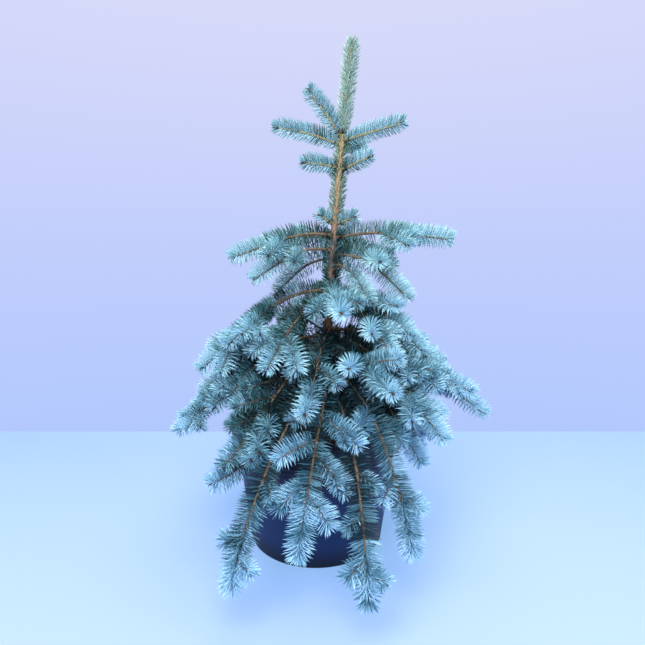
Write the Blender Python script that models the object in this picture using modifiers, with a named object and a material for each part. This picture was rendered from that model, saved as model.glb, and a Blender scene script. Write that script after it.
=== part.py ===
# Potted blue spruce: a squat nursery pot, its soil, a tapering trunk, bare boughs and masses of needled shoots.
# Metres, +Z up. The origin is the centre of the pot's flat underside and +X is the side that shows on the right.
# Every bough is one row of sizes, and its limb, stem and side shoots grow from that row by one seeded rule.
import math
import random
from dataclasses import dataclass

import bmesh
import bpy
import numpy as np
from mathutils import Vector

GAP = 0.0003  # clearance between touching pieces

# Pot
POT_HEIGHT = 0.205
POT_RIM_RADIUS = 0.140
POT_FOOT_RADIUS = 0.109
POT_WALL = 0.0025
POT_LIP_DEPTH = 0.016
POT_LIP_OVERHANG = 0.005
POT_EDGE = 0.0015  # size of its small edges
POT_SIDES = 36
SOIL_TOP = 0.182
SOIL_CROWN = 0.003  # how much lower the soil lies at the wall
SOIL_FLAT_RADIUS = 0.030
SOIL_OFF_WALL = 0.0015

# Trunk
TRUNK_TOP = 0.650
TRUNK_SIDES = 10
TRUNK_FOOT_OFFSET = 0.012  # where the trunk leaves the soil, along +X
TRUNK_LEAN = 0.030
TRUNK_CURVE = 0.066
TRUNK_HEIGHTS = (0.182, 0.215, 0.330, 0.450, 0.600, 0.650)
TRUNK_RADII = (0.0150, 0.0100, 0.0072, 0.0056, 0.0046, 0.0040)
TRUNK_RINGS = 12
FLARE_RISES = (0.0, 0.006, 0.014, 0.028)
FLARE_LOBE_COUNT = 3
FLARE_LOBES = (0.10, 0.08, 0.05, 0.02)  # how far the root lobes stand out, as a share of the radius
FLARE_TOP = 0.235
LEADER_TIP = 0.781
LEADER_RINGS = 14

# Boughs
LIMB_RADIUS = 0.0022
LIMB_RADIUS_PER_REACH = 0.0042
LIMB_TAPER = 1.35
LIMB_RINGS = 5
JOINT_SPAN = 0.002  # half the length over which a limb's heading at its end is measured
NEAR_UPRIGHT = 0.95  # a heading whose upward share is past this takes its side from the Y axis
STEM_PULL = 0.38  # how far a stem keeps its root's and its tip's heading, as a share of its span
TRUNK_SPAN = 0.01  # half the height over which the trunk's heading is measured

# Foliage sleeve round the upper trunk
SLEEVE_FOOT = 0.506
SLEEVE_TOP = 0.626
SLEEVE_THICKNESS = 0.0024
SLEEVE_RING_STEP = 0.011
SLEEVE_SIDES = 5
SLEEVE_BORE_GAP = 0.0006  # more than the gap, because the trunk's sides are flat
SLEEVE_NEEDLE = 0.0155
SLEEVE_NEEDLE_SPREAD = 38.0
SLEEVE_BORE_OVERRUN = 0.02  # how far the bore runs past the sleeve's ends

# Foliage
NEEDLE_LOW = 0.023  # needle length on the lower shoots
NEEDLE_TOP = 0.017  # needle length at the crown's top
NEEDLE_LEADER = 0.014
FINER_UPWARDS = (0.42, 0.62)  # needles and rings shrink between these heights
CORE_RADIUS = 0.0042  # the slim core that the needles stand out of
STEM_RADIUS = 0.0022  # a shoot where it leaves the trunk or its bough
RING_STEP_LOW = 0.0215  # distance between two rings of needles on the lower shoots
RING_STEP_TOP = 0.0120
NEEDLE_SPREAD = 46.0  # angle between a needle and its shoot, degrees
BUD_LENGTH = 0.012
TIP_TAPER = 0.55
SHOOT_SIDES = 3
LEADER_SIDES = 4
STEM_BARE = 0.006  # no needles this close to a mass's root
SIDE_SHOOT_BARE = 0.014
SIDE_OPENING = (46, 60)  # angle between a side shoot and its parent, degrees
SIDE_ROLL = (-22, 30)  # how far it turns up round its parent, degrees
SIDE_DROOP = (.05, .3)
SIDE_BEND = 0.25  # how much it turns towards its parent's heading
SIDE_LENGTHS = (.82, 1.12)  # shares of the size in the row
PLACE_JITTER = .02
LIMB_SIDES = 6

# Room that shoots keep
SHOOTS_APART = 0.0135  # between the axes of two masses
OWN_SHOOTS_APART = 0.0090
FORK_ROOM = 0.0144  # a side shoot's room isn't measured this close to its fork
STAGGER = 0.025  # how far the two shoots of a pair stand before and behind its place
SHOOT_STEP = 0.008  # spacing of the points along a shoot
LOWEST_POINT = 0.004
LOWEST_SHOOT = 0.016
MARK_STEP = 0.004  # spacing of the marks that room is measured from
NEEDLE_HALF_WIDTH = 0.0006  # at its tip
NEEDLE_OFF_POT = 0.0025
NEEDLE_OFF_LIMB = 0.0065
SHOOT_OFF_POT = 0.0062
FAR_AWAY = 9.0


@dataclass
class Bough:
    """One bough: where it leaves the trunk, how far and how low it reaches, and its side shoots."""

    name: str
    height: float  # where it leaves the trunk
    azimuth: float  # degrees, 0 at +X and 270 towards the front
    reach: float  # level distance from trunk to tip
    tip: float  # height of the tip
    rise: float = 5  # slope at the trunk, degrees
    droop: float = -35  # slope at the tip, degrees
    sweep: float = 0  # how far the heading turns from root to tip, either way from the azimuth
    bare: float = 0  # share of the length that is a bare limb
    pairs: int = 0  # pairs of side shoots
    first: float = 0.4  # where the first and the last pair stand, as shares of the length
    last: float = 0.7
    side: float = 0.07  # length of the first side shoots
    taper: float = 0.55  # how much shorter a side shoot at the very tip would be
    wide: float = 0  # how much wider than the rule the side shoots open, degrees
    seed: int = 1


TOP_SHOOTS = [
    Bough("top_left_rising", .647, 192, .052, .710, rise=60, droop=52),
    Bough("top_left", .634, 184, .100, .658, rise=22, droop=8),
    Bough("top_right", .641, -6, .092, .664, rise=15, droop=14),
    Bough("top_back", .637, 62, .075, .642, rise=5, droop=5),
]
SLEEVE_SHOOTS = [
    Bough("mid_left", .600, 190, .055, .606, rise=10, droop=4),
    Bough("mid_right", .598, -10, .048, .615, rise=22, droop=18),
    Bough("mid_back", .590, 100, .045, .606, rise=20, droop=15),
    Bough("bud_left", .515, 200, .024, .527, rise=25, droop=25),
    Bough("bud_right", .514, -20, .031, .524, rise=20, droop=15),
]
BOUGHS = [
    Bough("upper_left", .497, 194, .163, .462, 8, -15, bare=.28, pairs=1, first=.45, side=.064, seed=1),
    Bough("upper_right", .494, -10, .184, .490, 12, -4, bare=.22, pairs=2, first=.36, last=.53,
          side=.062, seed=2),
    Bough("upper_left_low", .473, 207, .134, .430, 12, -28, bare=.2, pairs=1, side=.052, seed=3),
    Bough("upper_left_inner", .460, 160, .095, .405, -5, -45, seed=4),
    Bough("upper_right_low", .465, -25, .126, .400, 8, -42, bare=.2, pairs=1, first=.38, side=.055, seed=5),
    Bough("upper_front", .453, -54, .090, .398, -5, -55, seed=6),
    Bough("upper_back", .488, 76, .150, .474, 14, -12, pairs=1, first=.45, side=.06, seed=7),
    Bough("upper_back_right", .478, 32, .120, .452, 6, -20, pairs=1, first=.55, side=.04, seed=8),
    Bough("upper_back_left", .490, 140, .140, .480, 14, -12, pairs=1, first=.5, side=.055, seed=9),
    Bough("middle_left", .410, 193, .207, .291, 2, -35, bare=.2, pairs=3, first=.35, side=.09, seed=10),
    Bough("middle_left_low", .382, 170, .222, .232, -25, -35, bare=.15, pairs=3, first=.35, side=.08,
          seed=11),
    Bough("middle_front", .414, -84, .130, .388, 0, -5, pairs=1, first=.5, side=.05, seed=12),
    Bough("middle_front_right", .395, -44, .137, .307, 0, -50, pairs=1, first=.55, side=.05, seed=13),
    Bough("middle_right", .405, -10, .165, .297, 0, -40, bare=.2, pairs=3, first=.3, side=.07, seed=14),
    Bough("middle_back_right", .398, 45, .185, .300, 5, -35, bare=.15, pairs=3, first=.3, side=.09,
          seed=15),
    Bough("middle_back", .405, 108, .195, .290, 5, -35, bare=.15, pairs=3, first=.3, side=.09, seed=16),
    Bough("middle_front_left", .392, 232, .150, .305, 0, -45, pairs=1, first=.6, side=.07, seed=17),
    Bough("lower_right", .348, -3, .258, .208, 0, -35, bare=.15, pairs=3, first=.3, side=.10, seed=18),
    Bough("lower_right_front", .338, -31, .200, .196, -5, -45, pairs=3, first=.3, side=.08, seed=19),
    Bough("lower_front_right", .330, -62, .185, .285, -5, -10, pairs=1, first=.5, side=.06, seed=20),
    Bough("lower_front", .342, 259, .173, .258, -10, -15, pairs=1, first=.45, side=.05, seed=21),
    Bough("lower_front_left", .326, 233, .229, .193, -14, -28, pairs=3, first=.38, side=.080, seed=22),
    Bough("lower_left", .336, 184, .246, .180, 0, -38, bare=.12, pairs=3, first=.3, side=.11, seed=23),
    Bough("lower_back_right", .330, 34, .230, .200, 0, -35, pairs=3, first=.3, side=.11, seed=24),
    Bough("lower_back_left", .325, 138, .235, .190, 0, -35, bare=.12, pairs=3, first=.3, side=.11, seed=25),
    Bough("lower_back", .344, 84, .225, .215, 5, -30, pairs=3, first=.3, side=.10, seed=26),
    Bough("skirt_left", .297, 230, .241, .170, 4, -8, sweep=-18, pairs=2, first=.5, side=.055, seed=27),
    Bough("skirt_front_left", .274, 243, .264, .056, 15, -75, sweep=-17, bare=.2, pairs=1, first=.875,
          side=.036, wide=18, seed=28),
    Bough("skirt_front", .287, 261, .238, .096, 12, -68, sweep=-13, pairs=3, first=.45, last=.76,
          side=.080, seed=29),
    Bough("skirt_front_right", .248, -79, .262, .052, 15, -78, sweep=-4, bare=.2, pairs=1, first=.885,
          side=.034, wide=18, seed=30),
    Bough("skirt_right_front", .280, -60, .225, .075, 12, -75, sweep=4, pairs=2, first=.45, last=.72,
          side=.07, seed=31),
    Bough("skirt_right", .296, -32, .170, .155, 0, -50, pairs=2, side=.055, seed=32),
    Bough("skirt_back_right", .278, 24, .190, .100, 12, -68, pairs=3, first=.38, side=.09, seed=33),
    Bough("skirt_back", .264, 70, .240, .085, 12, -70, pairs=3, first=.38, side=.09, seed=34),
    Bough("skirt_back_left", .277, 115, .240, .085, 12, -70, pairs=3, first=.38, side=.09, seed=35),
    Bough("skirt_left_back", .284, 142, .212, .095, 30, -68, pairs=2, first=.38, side=.06, seed=36),
]




# Side shoots: tried in turn as roll in degrees and share of the full length, until one keeps its room
SHOOT_TRIES = ((0, 1), (28, 1), (-28, 1), (0, .7), (28, .7), (-28, .7), (0, .45))
NEEDLE_TRIES = (1, .75, .55)  # shares of a needle's length, tried in turn
NEEDLE_MARKS = (0.4, 0.7, 1.0)  # where along a needle its room is measured


def unit(v):
    return v / np.linalg.norm(v)


def heading(azimuth, rise):
    a, r = math.radians(azimuth), math.radians(rise)
    return np.array([math.cos(a) * math.cos(r), math.sin(a) * math.cos(r), math.sin(r)])


def trunk_at(z):
    above = z - SOIL_TOP
    return np.array([TRUNK_FOOT_OFFSET + TRUNK_LEAN * above + TRUNK_CURVE * above * above, 0, z])


def trunk_radius(z):
    return float(np.interp(z, TRUNK_HEIGHTS, TRUNK_RADII))


def off_trunk(bough):
    """The way straight out of the bark where a bough leaves the trunk, which its root's flat end faces."""
    along = unit(trunk_at(bough.height + TRUNK_SPAN) - trunk_at(bough.height - TRUNK_SPAN))
    out = heading(bough.azimuth - bough.sweep, 0)
    return unit(out - along * out.dot(along))


def pot_body_radius(z):
    """Outer radius of the pot's tapering body at a height."""
    return POT_FOOT_RADIUS + (POT_RIM_RADIUS - POT_LIP_OVERHANG - POT_FOOT_RADIUS) * z / POT_HEIGHT


def pot_radius(z):
    """Outer radius of the pot at a height, lip included."""
    return POT_RIM_RADIUS if z > POT_HEIGHT - POT_LIP_DEPTH else pot_body_radius(z)


def stem_path(bough, count=25):
    """The bough's whole axis from the trunk's bark to its tip."""
    start = trunk_at(bough.height)
    end = start + heading(bough.azimuth, 0) * bough.reach
    end[2] = bough.tip
    pull = np.linalg.norm(end - start) * STEM_PULL
    out = heading(bough.azimuth - bough.sweep, bough.rise)
    start = start + off_trunk(bough) * (trunk_radius(bough.height) + GAP)
    corners = (start, start + out * pull, end - heading(bough.azimuth + bough.sweep, bough.droop) * pull, end)
    t = np.linspace(0, 1, count)[:, None]
    return (1 - t) ** 3 * corners[0] + 3 * (1 - t) ** 2 * t * corners[1] \
        + 3 * (1 - t) * t * t * corners[2] + t ** 3 * corners[3]


def side_path(start, along, across, up, opening, roll, length, droop):
    """A side shoot that opens from its parent, then bends towards it and down."""
    a, r = math.radians(opening), math.radians(roll)
    out = unit(along * math.cos(a) + (across * math.cos(r) + up * math.sin(r)) * math.sin(a))
    bend = unit(out + along * SIDE_BEND - np.array([0, 0, droop]))
    t = np.linspace(0, 1, max(4, int(length / SHOOT_STEP)))[:, None]
    middle = start + out * length / 2
    return (1 - t) ** 2 * start + 2 * (1 - t) * t * middle + t * t * (middle + bend * length / 2)


def path_length(path):
    return np.linalg.norm(np.diff(path, axis=0), axis=1).sum()


def point_along(path, wanted):
    """Points at given distances along a path."""
    lengths = np.concatenate(([0], np.cumsum(np.linalg.norm(np.diff(path, axis=0), axis=1))))
    return np.stack([np.interp(wanted, lengths, path[:, k]) for k in range(3)], axis=1)


def spread(path):
    """Marks along a path at an even spacing, for measuring room."""
    length = path_length(path)
    return point_along(path, np.linspace(0, length, max(2, int(length / MARK_STEP))))


class Crown:
    """Every shoot that has been grown, with the mass that it belongs to."""

    def __init__(self):
        self.shoots = []
        self.points = np.zeros((0, 3))
        self.owners = np.zeros(0, int)

    def add(self, owner, path, level):
        marks = spread(path)
        self.shoots.append((owner, path, level))
        self.points = np.concatenate((self.points, marks))
        self.owners = np.concatenate((self.owners, np.full(len(marks), owner)))

    def nearest(self, marks, owner):
        """Distances from each mark to the nearest axis of its own mass and of the others."""
        away = np.linalg.norm(marks[:, None] - self.points[None], axis=2)
        own = self.owners == owner
        others = away[:, ~own].min(axis=1) if (~own).any() else np.full(len(marks), FAR_AWAY)
        return away[:, own].min(axis=1), others


def clear_of_pot_and_trunk(marks, room):
    for x, y, z in marks:
        level = math.hypot(x, y)
        in_pot = z < POT_HEIGHT + room and level < pot_radius(z) + room
        mouth = pot_body_radius(SOIL_TOP) - POT_WALL - POT_LIP_OVERHANG
        over_soil = z > SOIL_TOP + room and level < mouth - room
        if in_pot and not over_soil:
            return False
        if z < TRUNK_TOP + room:
            axis = trunk_at(z)
            if math.hypot(x - axis[0], y - axis[1]) < trunk_radius(z) + room:
                return False
    return True


def shoot_fits(crown, owner, path):
    marks = spread(path)
    away = marks[np.linalg.norm(marks - marks[0], axis=1) > FORK_ROOM]
    if not len(away) or away[:, 2].min() < LOWEST_SHOOT:
        return False
    own, others = crown.nearest(away, owner)
    if others.min() < SHOOTS_APART or own.min() < OWN_SHOOTS_APART:
        return False
    return clear_of_pot_and_trunk(away, SHOOT_OFF_POT)


def grow_side_shoots(crown, owner, bough):
    rng = random.Random(bough.seed)
    main = stem_path(bough)
    a = math.radians(bough.azimuth)
    across = np.array([-math.sin(a), math.cos(a), 0])
    last = len(main) - 1
    for pair in range(bough.pairs):
        for sign in (-1, 1):
            share = (bough.last - bough.first) * pair / max(bough.pairs - 1, 1)
            share += STAGGER * sign + rng.uniform(-PLACE_JITTER, PLACE_JITTER)
            place = (bough.first + share) * last
            low = int(place)
            start = main[low] + (main[low + 1] - main[low]) * (place - low)
            along = unit(main[low + 1] - main[low])
            up = unit(np.cross(across, along))
            up = up if up[2] > 0 else -up
            length = bough.side * (1 - bough.taper * share / (1 - bough.first)) * rng.uniform(*SIDE_LENGTHS)
            opening, roll, droop = rng.uniform(*SIDE_OPENING), rng.uniform(*SIDE_ROLL), rng.uniform(*SIDE_DROOP)
            opening += bough.wide
            for turn, part in SHOOT_TRIES:
                path = side_path(start, along, across * sign, up, opening, roll + turn, length * part, droop)
                if shoot_fits(crown, owner, path):
                    crown.add(owner, path, 1)
                    break


def grow_crown(boughs):
    crown = Crown()
    for owner, bough in enumerate(boughs):
        crown.add(owner, stem_path(bough), 0)
    for owner, bough in enumerate(boughs):
        grow_side_shoots(crown, owner, bough)
    return crown


def material(name, colour, roughness):
    made = bpy.data.materials.new(name)
    made.use_nodes = True
    shader = made.node_tree.nodes["Principled BSDF"]
    shader.inputs["Base Color"].default_value = (*colour, 1)
    shader.inputs["Roughness"].default_value = roughness
    return made


def add_object(name, bm, group, colour_name):
    mesh = bpy.data.meshes.new(name)
    bm.to_mesh(mesh)
    bm.free()
    mesh.materials.append(material(name, *COLOURS[colour_name]))
    made = bpy.data.objects.new(name, mesh)
    group.objects.link(made)
    return made


COLOURS = {
    "pot": ((0.012, 0.014, 0.022), 0.42),
    "soil": ((0.045, 0.030, 0.020), 0.95),
    "bark": ((0.240, 0.140, 0.080), 0.80),
    "needles": ((0.190, 0.400, 0.430), 0.55),
}


def place_ring(verts, path_point, along, radius, turn, lobes=0.0):
    """Puts a face's corners on a circle round a point of the path."""
    side = unit(np.cross(along, (0.0, 0.0, 1.0) if abs(along[2]) < NEAR_UPRIGHT else (0.0, 1.0, 0.0)))
    top = np.cross(side, along)
    for k, vert in enumerate(verts):
        angle = turn + 2 * math.pi * k / len(verts)
        size = radius * (1 + lobes * math.cos(FLARE_LOBE_COUNT * angle))
        vert.co = Vector(path_point + side * math.cos(angle) * size + top * math.sin(angle) * size)


def tube(path, radii, sides, turns, lobes=None, root_faces=None, tip_faces=None):
    """A closed tube drawn along a path by extruding its end face ring by ring, with that last face."""
    bm = bmesh.new()
    ring_number = bm.verts.layers.int.new("ring")
    bmesh.ops.create_circle(bm, cap_ends=True, segments=sides, radius=1)
    face = next(iter(bm.faces))
    along = [unit(path[min(k + 1, len(path) - 1)] - path[max(k - 1, 0)]) for k in range(len(path))]
    lobes = lobes or [0.0] * len(path)
    if root_faces is not None:
        along[0] = root_faces
    if tip_faces is not None:
        along[-1] = tip_faces
    for k, point in enumerate(path):
        if k:
            grown = bmesh.ops.extrude_face_region(bm, geom=[face])
            faces = [g for g in grown["geom"] if isinstance(g, bmesh.types.BMFace)]
            if k > 1:
                bmesh.ops.delete(bm, geom=[face], context="FACES_ONLY")
            face = faces[0]
        place_ring(face.verts, point, along[k], radii[k], turns[k], lobes[k])
        for vert in face.verts:
            vert[ring_number] = k
    bmesh.ops.recalc_face_normals(bm, faces=bm.faces)
    return bm, face


def resample(path, start, step):
    """The path from a distance onwards, cut into whole steps."""
    length = path_length(path)
    count = max(2, round((length - start) / step))
    return point_along(path, np.linspace(start, length, count + 1))


def needle_length(z):
    return float(np.interp(z, FINER_UPWARDS, (NEEDLE_LOW, NEEDLE_TOP)))


def ring_step(z):
    return float(np.interp(z, FINER_UPWARDS, (RING_STEP_LOW, RING_STEP_TOP)))


def needle_tip(foot, out, along, length, owner, crown, limbs):
    """The furthest tip that keeps a needle in its own mass's space, or nothing."""
    spread_angle = math.radians(NEEDLE_SPREAD)
    way = unit(out * math.sin(spread_angle) + along * math.cos(spread_angle))
    shares = np.array(NEEDLE_MARKS)
    for part in NEEDLE_TRIES:
        marks = foot + way * length * part * shares[:, None]
        if marks[:, 2].min() < LOWEST_POINT or not clear_of_pot_and_trunk(marks, NEEDLE_OFF_POT):
            continue
        own, others = crown.nearest(marks, owner)
        half_width = CORE_RADIUS * (1 - shares) + NEEDLE_HALF_WIDTH
        if ((others - own) / 2 > half_width).all() and clear_of_limbs(marks, limbs):
            return marks[-1]
    return None


def clear_of_limbs(marks, limbs):
    return all(np.linalg.norm(marks[:, None] - limb[None], axis=2).min() > NEEDLE_OFF_LIMB for limb in limbs)


def ring_turns(sides, count):
    """Each ring is turned half a side from the last, so that the walls are a band of triangles."""
    return [math.pi / sides * k for k in range(count)]


def needle_faces(bm, rings):
    """Every second triangle of the walls, with its middle, the way out of the shoot and the way along it."""
    ring_number = bm.verts.layers.int["ring"]
    walls = [f for f in bm.faces if len({v[ring_number] for v in f.verts}) == 2]
    bands = bmesh.ops.triangulate(bm, faces=walls, quad_method="SHORT_EDGE")["faces"]
    found = []
    for face in bands:
        low, middle, high = sorted(v[ring_number] for v in face.verts)
        if low == middle:
            foot = np.array(face.calc_center_median())
            along = unit(rings[high] - rings[low])
            out = foot - rings[low]
            found.append((face, foot, unit(out - along * out.dot(along)), along))
    return found


def needled_shoot(path, start, owner, crown, limbs, bare, root_radius=STEM_RADIUS, length=None,
                  sides=SHOOT_SIDES, root_faces=None):
    """A slim core with a needle drawn out of every second triangle, and a pointed bud at its tip."""
    rings = resample(path, start, ring_step(path[0][2]))
    radii = [root_radius] + [CORE_RADIUS] * (len(rings) - 2) + [CORE_RADIUS * TIP_TAPER]
    bm, tip_face = tube(rings, radii, sides, ring_turns(sides, len(rings)), root_faces=root_faces)
    tip_corners = set(tip_face.verts)
    tips = []
    for face, foot, out, along in needle_faces(bm, rings):
        if np.linalg.norm(foot - path[0]) > bare:
            tip = needle_tip(foot, out, along, length or needle_length(foot[2]), owner, crown, limbs)
            if tip is not None:
                tips.append((face, tip))
    for face, tip in tips:
        bmesh.ops.poke(bm, faces=[face])["verts"][0].co = Vector(tip)
    end = [f for f in bm.faces if set(f.verts) == tip_corners]
    bud = rings[-1] + unit(rings[-1] - rings[-2]) * BUD_LENGTH
    bmesh.ops.poke(bm, faces=end)["verts"][0].co = Vector(bud)
    return bm


def join_mass(name, shoots, group, cutter=None):
    """Fuses a stem and its side shoots with one union, then drops the pieces that went into it.

    The manifold solver is used because the needles of neighbouring shoots cross in many places,
    where the exact one leaves open edges.
    """
    mass = add_object(name, shoots[0], group, "needles")
    parts = bpy.data.collections.new(name + "_shoots")
    bpy.context.scene.collection.children.link(parts)
    for k, bm in enumerate(shoots[1:]):
        add_object(f"{name}_shoot_{k}", bm, parts, "needles")
    if len(shoots) > 1:
        union = mass.modifiers.new("join", "BOOLEAN")
        union.operation, union.solver = "UNION", "MANIFOLD"
        union.operand_type, union.collection = "COLLECTION", parts
        apply_modifiers(mass)
    for spare in list(parts.objects):
        bpy.data.objects.remove(spare)
    bpy.data.collections.remove(parts)
    if cutter:
        cut = mass.modifiers.new("core", "BOOLEAN")
        cut.operation, cut.solver, cut.object = "DIFFERENCE", "EXACT", cutter
        apply_modifiers(mass)
    drop_scraps(mass)


def apply_modifiers(made):
    bpy.context.view_layer.update()
    ready = made.evaluated_get(bpy.context.evaluated_depsgraph_get())
    mesh = bpy.data.meshes.new_from_object(ready)
    made.modifiers.clear()
    made.data = mesh


def drop_scraps(made):
    """Keeps the largest connected body of a mesh."""
    bm = bmesh.new()
    bm.from_mesh(made.data)
    left, bodies = set(bm.verts), []
    while left:
        body, edge = set(), [left.pop()]
        while edge:
            vert = edge.pop()
            body.add(vert)
            near = [e.other_vert(vert) for e in vert.link_edges]
            edge += [v for v in near if v in left]
            left.difference_update(near)
        bodies.append(body)
    keep = max(bodies, key=len)
    bmesh.ops.delete(bm, geom=[v for v in bm.verts if v not in keep], context="VERTS")
    bm.to_mesh(made.data)
    bm.free()


def turned(name, profile, group, colour_name):
    """A profile turned round the Z axis, listed from top to bottom along its outer side."""
    mesh = bpy.data.meshes.new(name)
    mesh.from_pydata([(r, 0, z) for r, z in profile], [(k, k + 1) for k in range(len(profile) - 1)], [])
    mesh.materials.append(material(name, *COLOURS[colour_name]))
    made = bpy.data.objects.new(name, mesh)
    group.objects.link(made)
    screw = made.modifiers.new("turn", "SCREW")
    screw.steps = screw.render_steps = POT_SIDES
    screw.use_merge_vertices = True
    screw.merge_threshold = 0.00005


def add_pot(group):
    under_lip = POT_HEIGHT - POT_LIP_DEPTH
    mouth = POT_RIM_RADIUS - POT_LIP_OVERHANG - POT_WALL
    profile = [
        (0, POT_WALL),
        (pot_body_radius(POT_WALL) - POT_WALL, POT_WALL),
        (mouth - POT_EDGE, POT_HEIGHT - 2 * POT_EDGE),
        (mouth, POT_HEIGHT),
        (POT_RIM_RADIUS - POT_EDGE, POT_HEIGHT),
        (POT_RIM_RADIUS, POT_HEIGHT - POT_EDGE),
        (POT_RIM_RADIUS, under_lip),
        (pot_body_radius(under_lip), under_lip),
        (pot_body_radius(2 * POT_EDGE), 2 * POT_EDGE),
        (POT_FOOT_RADIUS - 2 * POT_EDGE, 0),
        (0, 0),
    ]
    turned("pot", profile, group, "pot")


def add_soil(group):
    floor = POT_WALL + GAP
    edge = SOIL_TOP - SOIL_CROWN
    profile = [
        (0, SOIL_TOP),
        (SOIL_FLAT_RADIUS, SOIL_TOP),
        (pot_body_radius(edge) - POT_WALL - SOIL_OFF_WALL, edge),
        (pot_body_radius(floor) - POT_WALL - SOIL_OFF_WALL, floor),
        (0, floor),
    ]
    turned("soil", profile, group, "soil")


def add_trunk(group):
    """The tapering, leaning trunk, with a lobed flare over its flat cut at the soil."""
    foot = SOIL_TOP + GAP
    heights = [foot + rise for rise in FLARE_RISES] + list(np.linspace(FLARE_TOP, TRUNK_TOP, TRUNK_RINGS))
    path = np.array([trunk_at(z) for z in heights])
    radii = [trunk_radius(z) for z in heights]
    lobes = list(FLARE_LOBES) + [0.0] * TRUNK_RINGS
    bm, _ = tube(path, radii, TRUNK_SIDES, [0.0] * len(heights), lobes, root_faces=np.array([0.0, 0.0, 1.0]))
    add_object("trunk", bm, group, "bark")


def limb_length(bough):
    return bough.bare * path_length(stem_path(bough))


def limb_radii(bough):
    """A limb's radius at the trunk and where it enters its mass."""
    slim = LIMB_RADIUS + LIMB_RADIUS_PER_REACH * bough.reach
    return slim * LIMB_TAPER, slim


def limb_path(bough):
    return point_along(stem_path(bough), np.linspace(0, limb_length(bough), LIMB_RINGS))


def joint_faces(bough):
    """The direction that a limb's end and its mass's root both face, where they meet."""
    joint = limb_length(bough)
    before, after = point_along(stem_path(bough), [joint - JOINT_SPAN, joint + JOINT_SPAN])
    return unit(after - before)


def add_limb(bough, group):
    path = limb_path(bough)
    wide, slim = limb_radii(bough)
    radii = list(np.linspace(wide, slim, len(path)))
    bm, _ = tube(path, radii, LIMB_SIDES, [0.0] * len(path), root_faces=off_trunk(bough),
                 tip_faces=joint_faces(bough))
    add_object("bough_" + bough.name, bm, group, "bark")


def add_mass(owner, bough, crown, limbs, group):
    """A mass: its stem, from the limb's tip or the trunk's bark, and the side shoots on it."""
    start = limb_length(bough) + (GAP if bough.bare else 0)
    root = limb_radii(bough)[1] if bough.bare else STEM_RADIUS
    others = [path for name, path in limbs.items() if name != bough.name]
    root_faces = joint_faces(bough) if bough.bare else off_trunk(bough)
    stem = needled_shoot(stem_path(bough), start, owner, crown, others, bare=STEM_BARE, root_radius=root,
                         root_faces=root_faces)
    side_paths = [path for who, path, level in crown.shoots if who == owner and level == 1]
    sides = [needled_shoot(path, 0, owner, crown, others, bare=SIDE_SHOOT_BARE) for path in side_paths]
    join_mass("foliage_" + bough.name, [stem] + sides, group)


def leader_path():
    return np.array([trunk_at(z) for z in np.linspace(TRUNK_TOP + GAP, LEADER_TIP, LEADER_RINGS)])


def sleeve_path():
    return np.array([trunk_at(z) for z in np.linspace(SLEEVE_FOOT, SLEEVE_TOP, LEADER_RINGS)])


def add_leader(owner, crown, group):
    shoot = needled_shoot(leader_path(), 0, owner, crown, [], bare=STEM_BARE,
                          root_radius=trunk_radius(TRUNK_TOP), length=NEEDLE_LEADER, sides=LEADER_SIDES)
    join_mass("foliage_leader", [shoot], group)


def add_sleeve(owner, crown, group):
    """The needles that stand round the upper trunk, with the short shoots there, cut clear of the trunk."""
    shoots = [needled_sleeve()]
    for bough in SLEEVE_SHOOTS:
        stem = stem_path(bough)
        sunk = np.vstack((stem[0] - off_trunk(bough) * SLEEVE_THICKNESS, stem))
        shoots.append(needled_shoot(sunk, 0, owner, crown, [], bare=SIDE_SHOOT_BARE))
    bore_heights = np.linspace(SLEEVE_FOOT - SLEEVE_BORE_OVERRUN, SLEEVE_TOP + SLEEVE_BORE_OVERRUN, LEADER_RINGS)
    bore = np.array([trunk_at(z) for z in bore_heights])
    bm, _ = tube(bore, [trunk_radius(p[2]) + SLEEVE_BORE_GAP for p in bore], TRUNK_SIDES, [0.0] * len(bore))
    cutters = bpy.data.collections.new("cutters")
    bpy.context.scene.collection.children.link(cutters)
    cutter = add_object("sleeve_bore", bm, cutters, "bark")
    cutter.hide_render, cutter.display_type = True, "WIRE"
    join_mass("foliage_upper_trunk", shoots, group, cutter)
    bpy.data.objects.remove(cutter)


def needled_sleeve():
    rings = resample(sleeve_path(), 0, SLEEVE_RING_STEP)
    radii = [trunk_radius(ring[2]) + SLEEVE_THICKNESS for ring in rings]
    bm, _ = tube(rings, radii, SLEEVE_SIDES, ring_turns(SLEEVE_SIDES, len(rings)))
    spread_angle = math.radians(SLEEVE_NEEDLE_SPREAD)
    for face, foot, out, along in needle_faces(bm, rings):
        way = out * math.sin(spread_angle) + along * math.cos(spread_angle)
        bmesh.ops.poke(bm, faces=[face])["verts"][0].co = Vector(foot + way * SLEEVE_NEEDLE)
    return bm


def clear_scene():
    for old in list(bpy.data.objects):
        bpy.data.objects.remove(old)


def main():
    clear_scene()
    group = bpy.data.collections.new("potted_blue_spruce")
    bpy.context.scene.collection.children.link(group)
    add_pot(group)
    add_soil(group)
    add_trunk(group)

    masses = TOP_SHOOTS + BOUGHS
    crown = grow_crown(masses)
    leader, sleeve = len(masses), len(masses) + 1
    crown.add(leader, leader_path(), 0)
    crown.add(sleeve, sleeve_path(), 0)
    for bough in SLEEVE_SHOOTS:
        crown.add(sleeve, stem_path(bough), 0)

    limbs = {bough.name: limb_path(bough) for bough in BOUGHS if bough.bare}
    for bough in BOUGHS:
        if bough.bare:
            add_limb(bough, group)
    for owner, bough in enumerate(masses):
        add_mass(owner, bough, crown, limbs, group)
    add_leader(leader, crown, group)
    add_sleeve(sleeve, crown, group)


main()
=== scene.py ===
import math
import random

import bmesh
import bpy
import numpy as np
from mathutils import Matrix, Vector, noise


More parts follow.
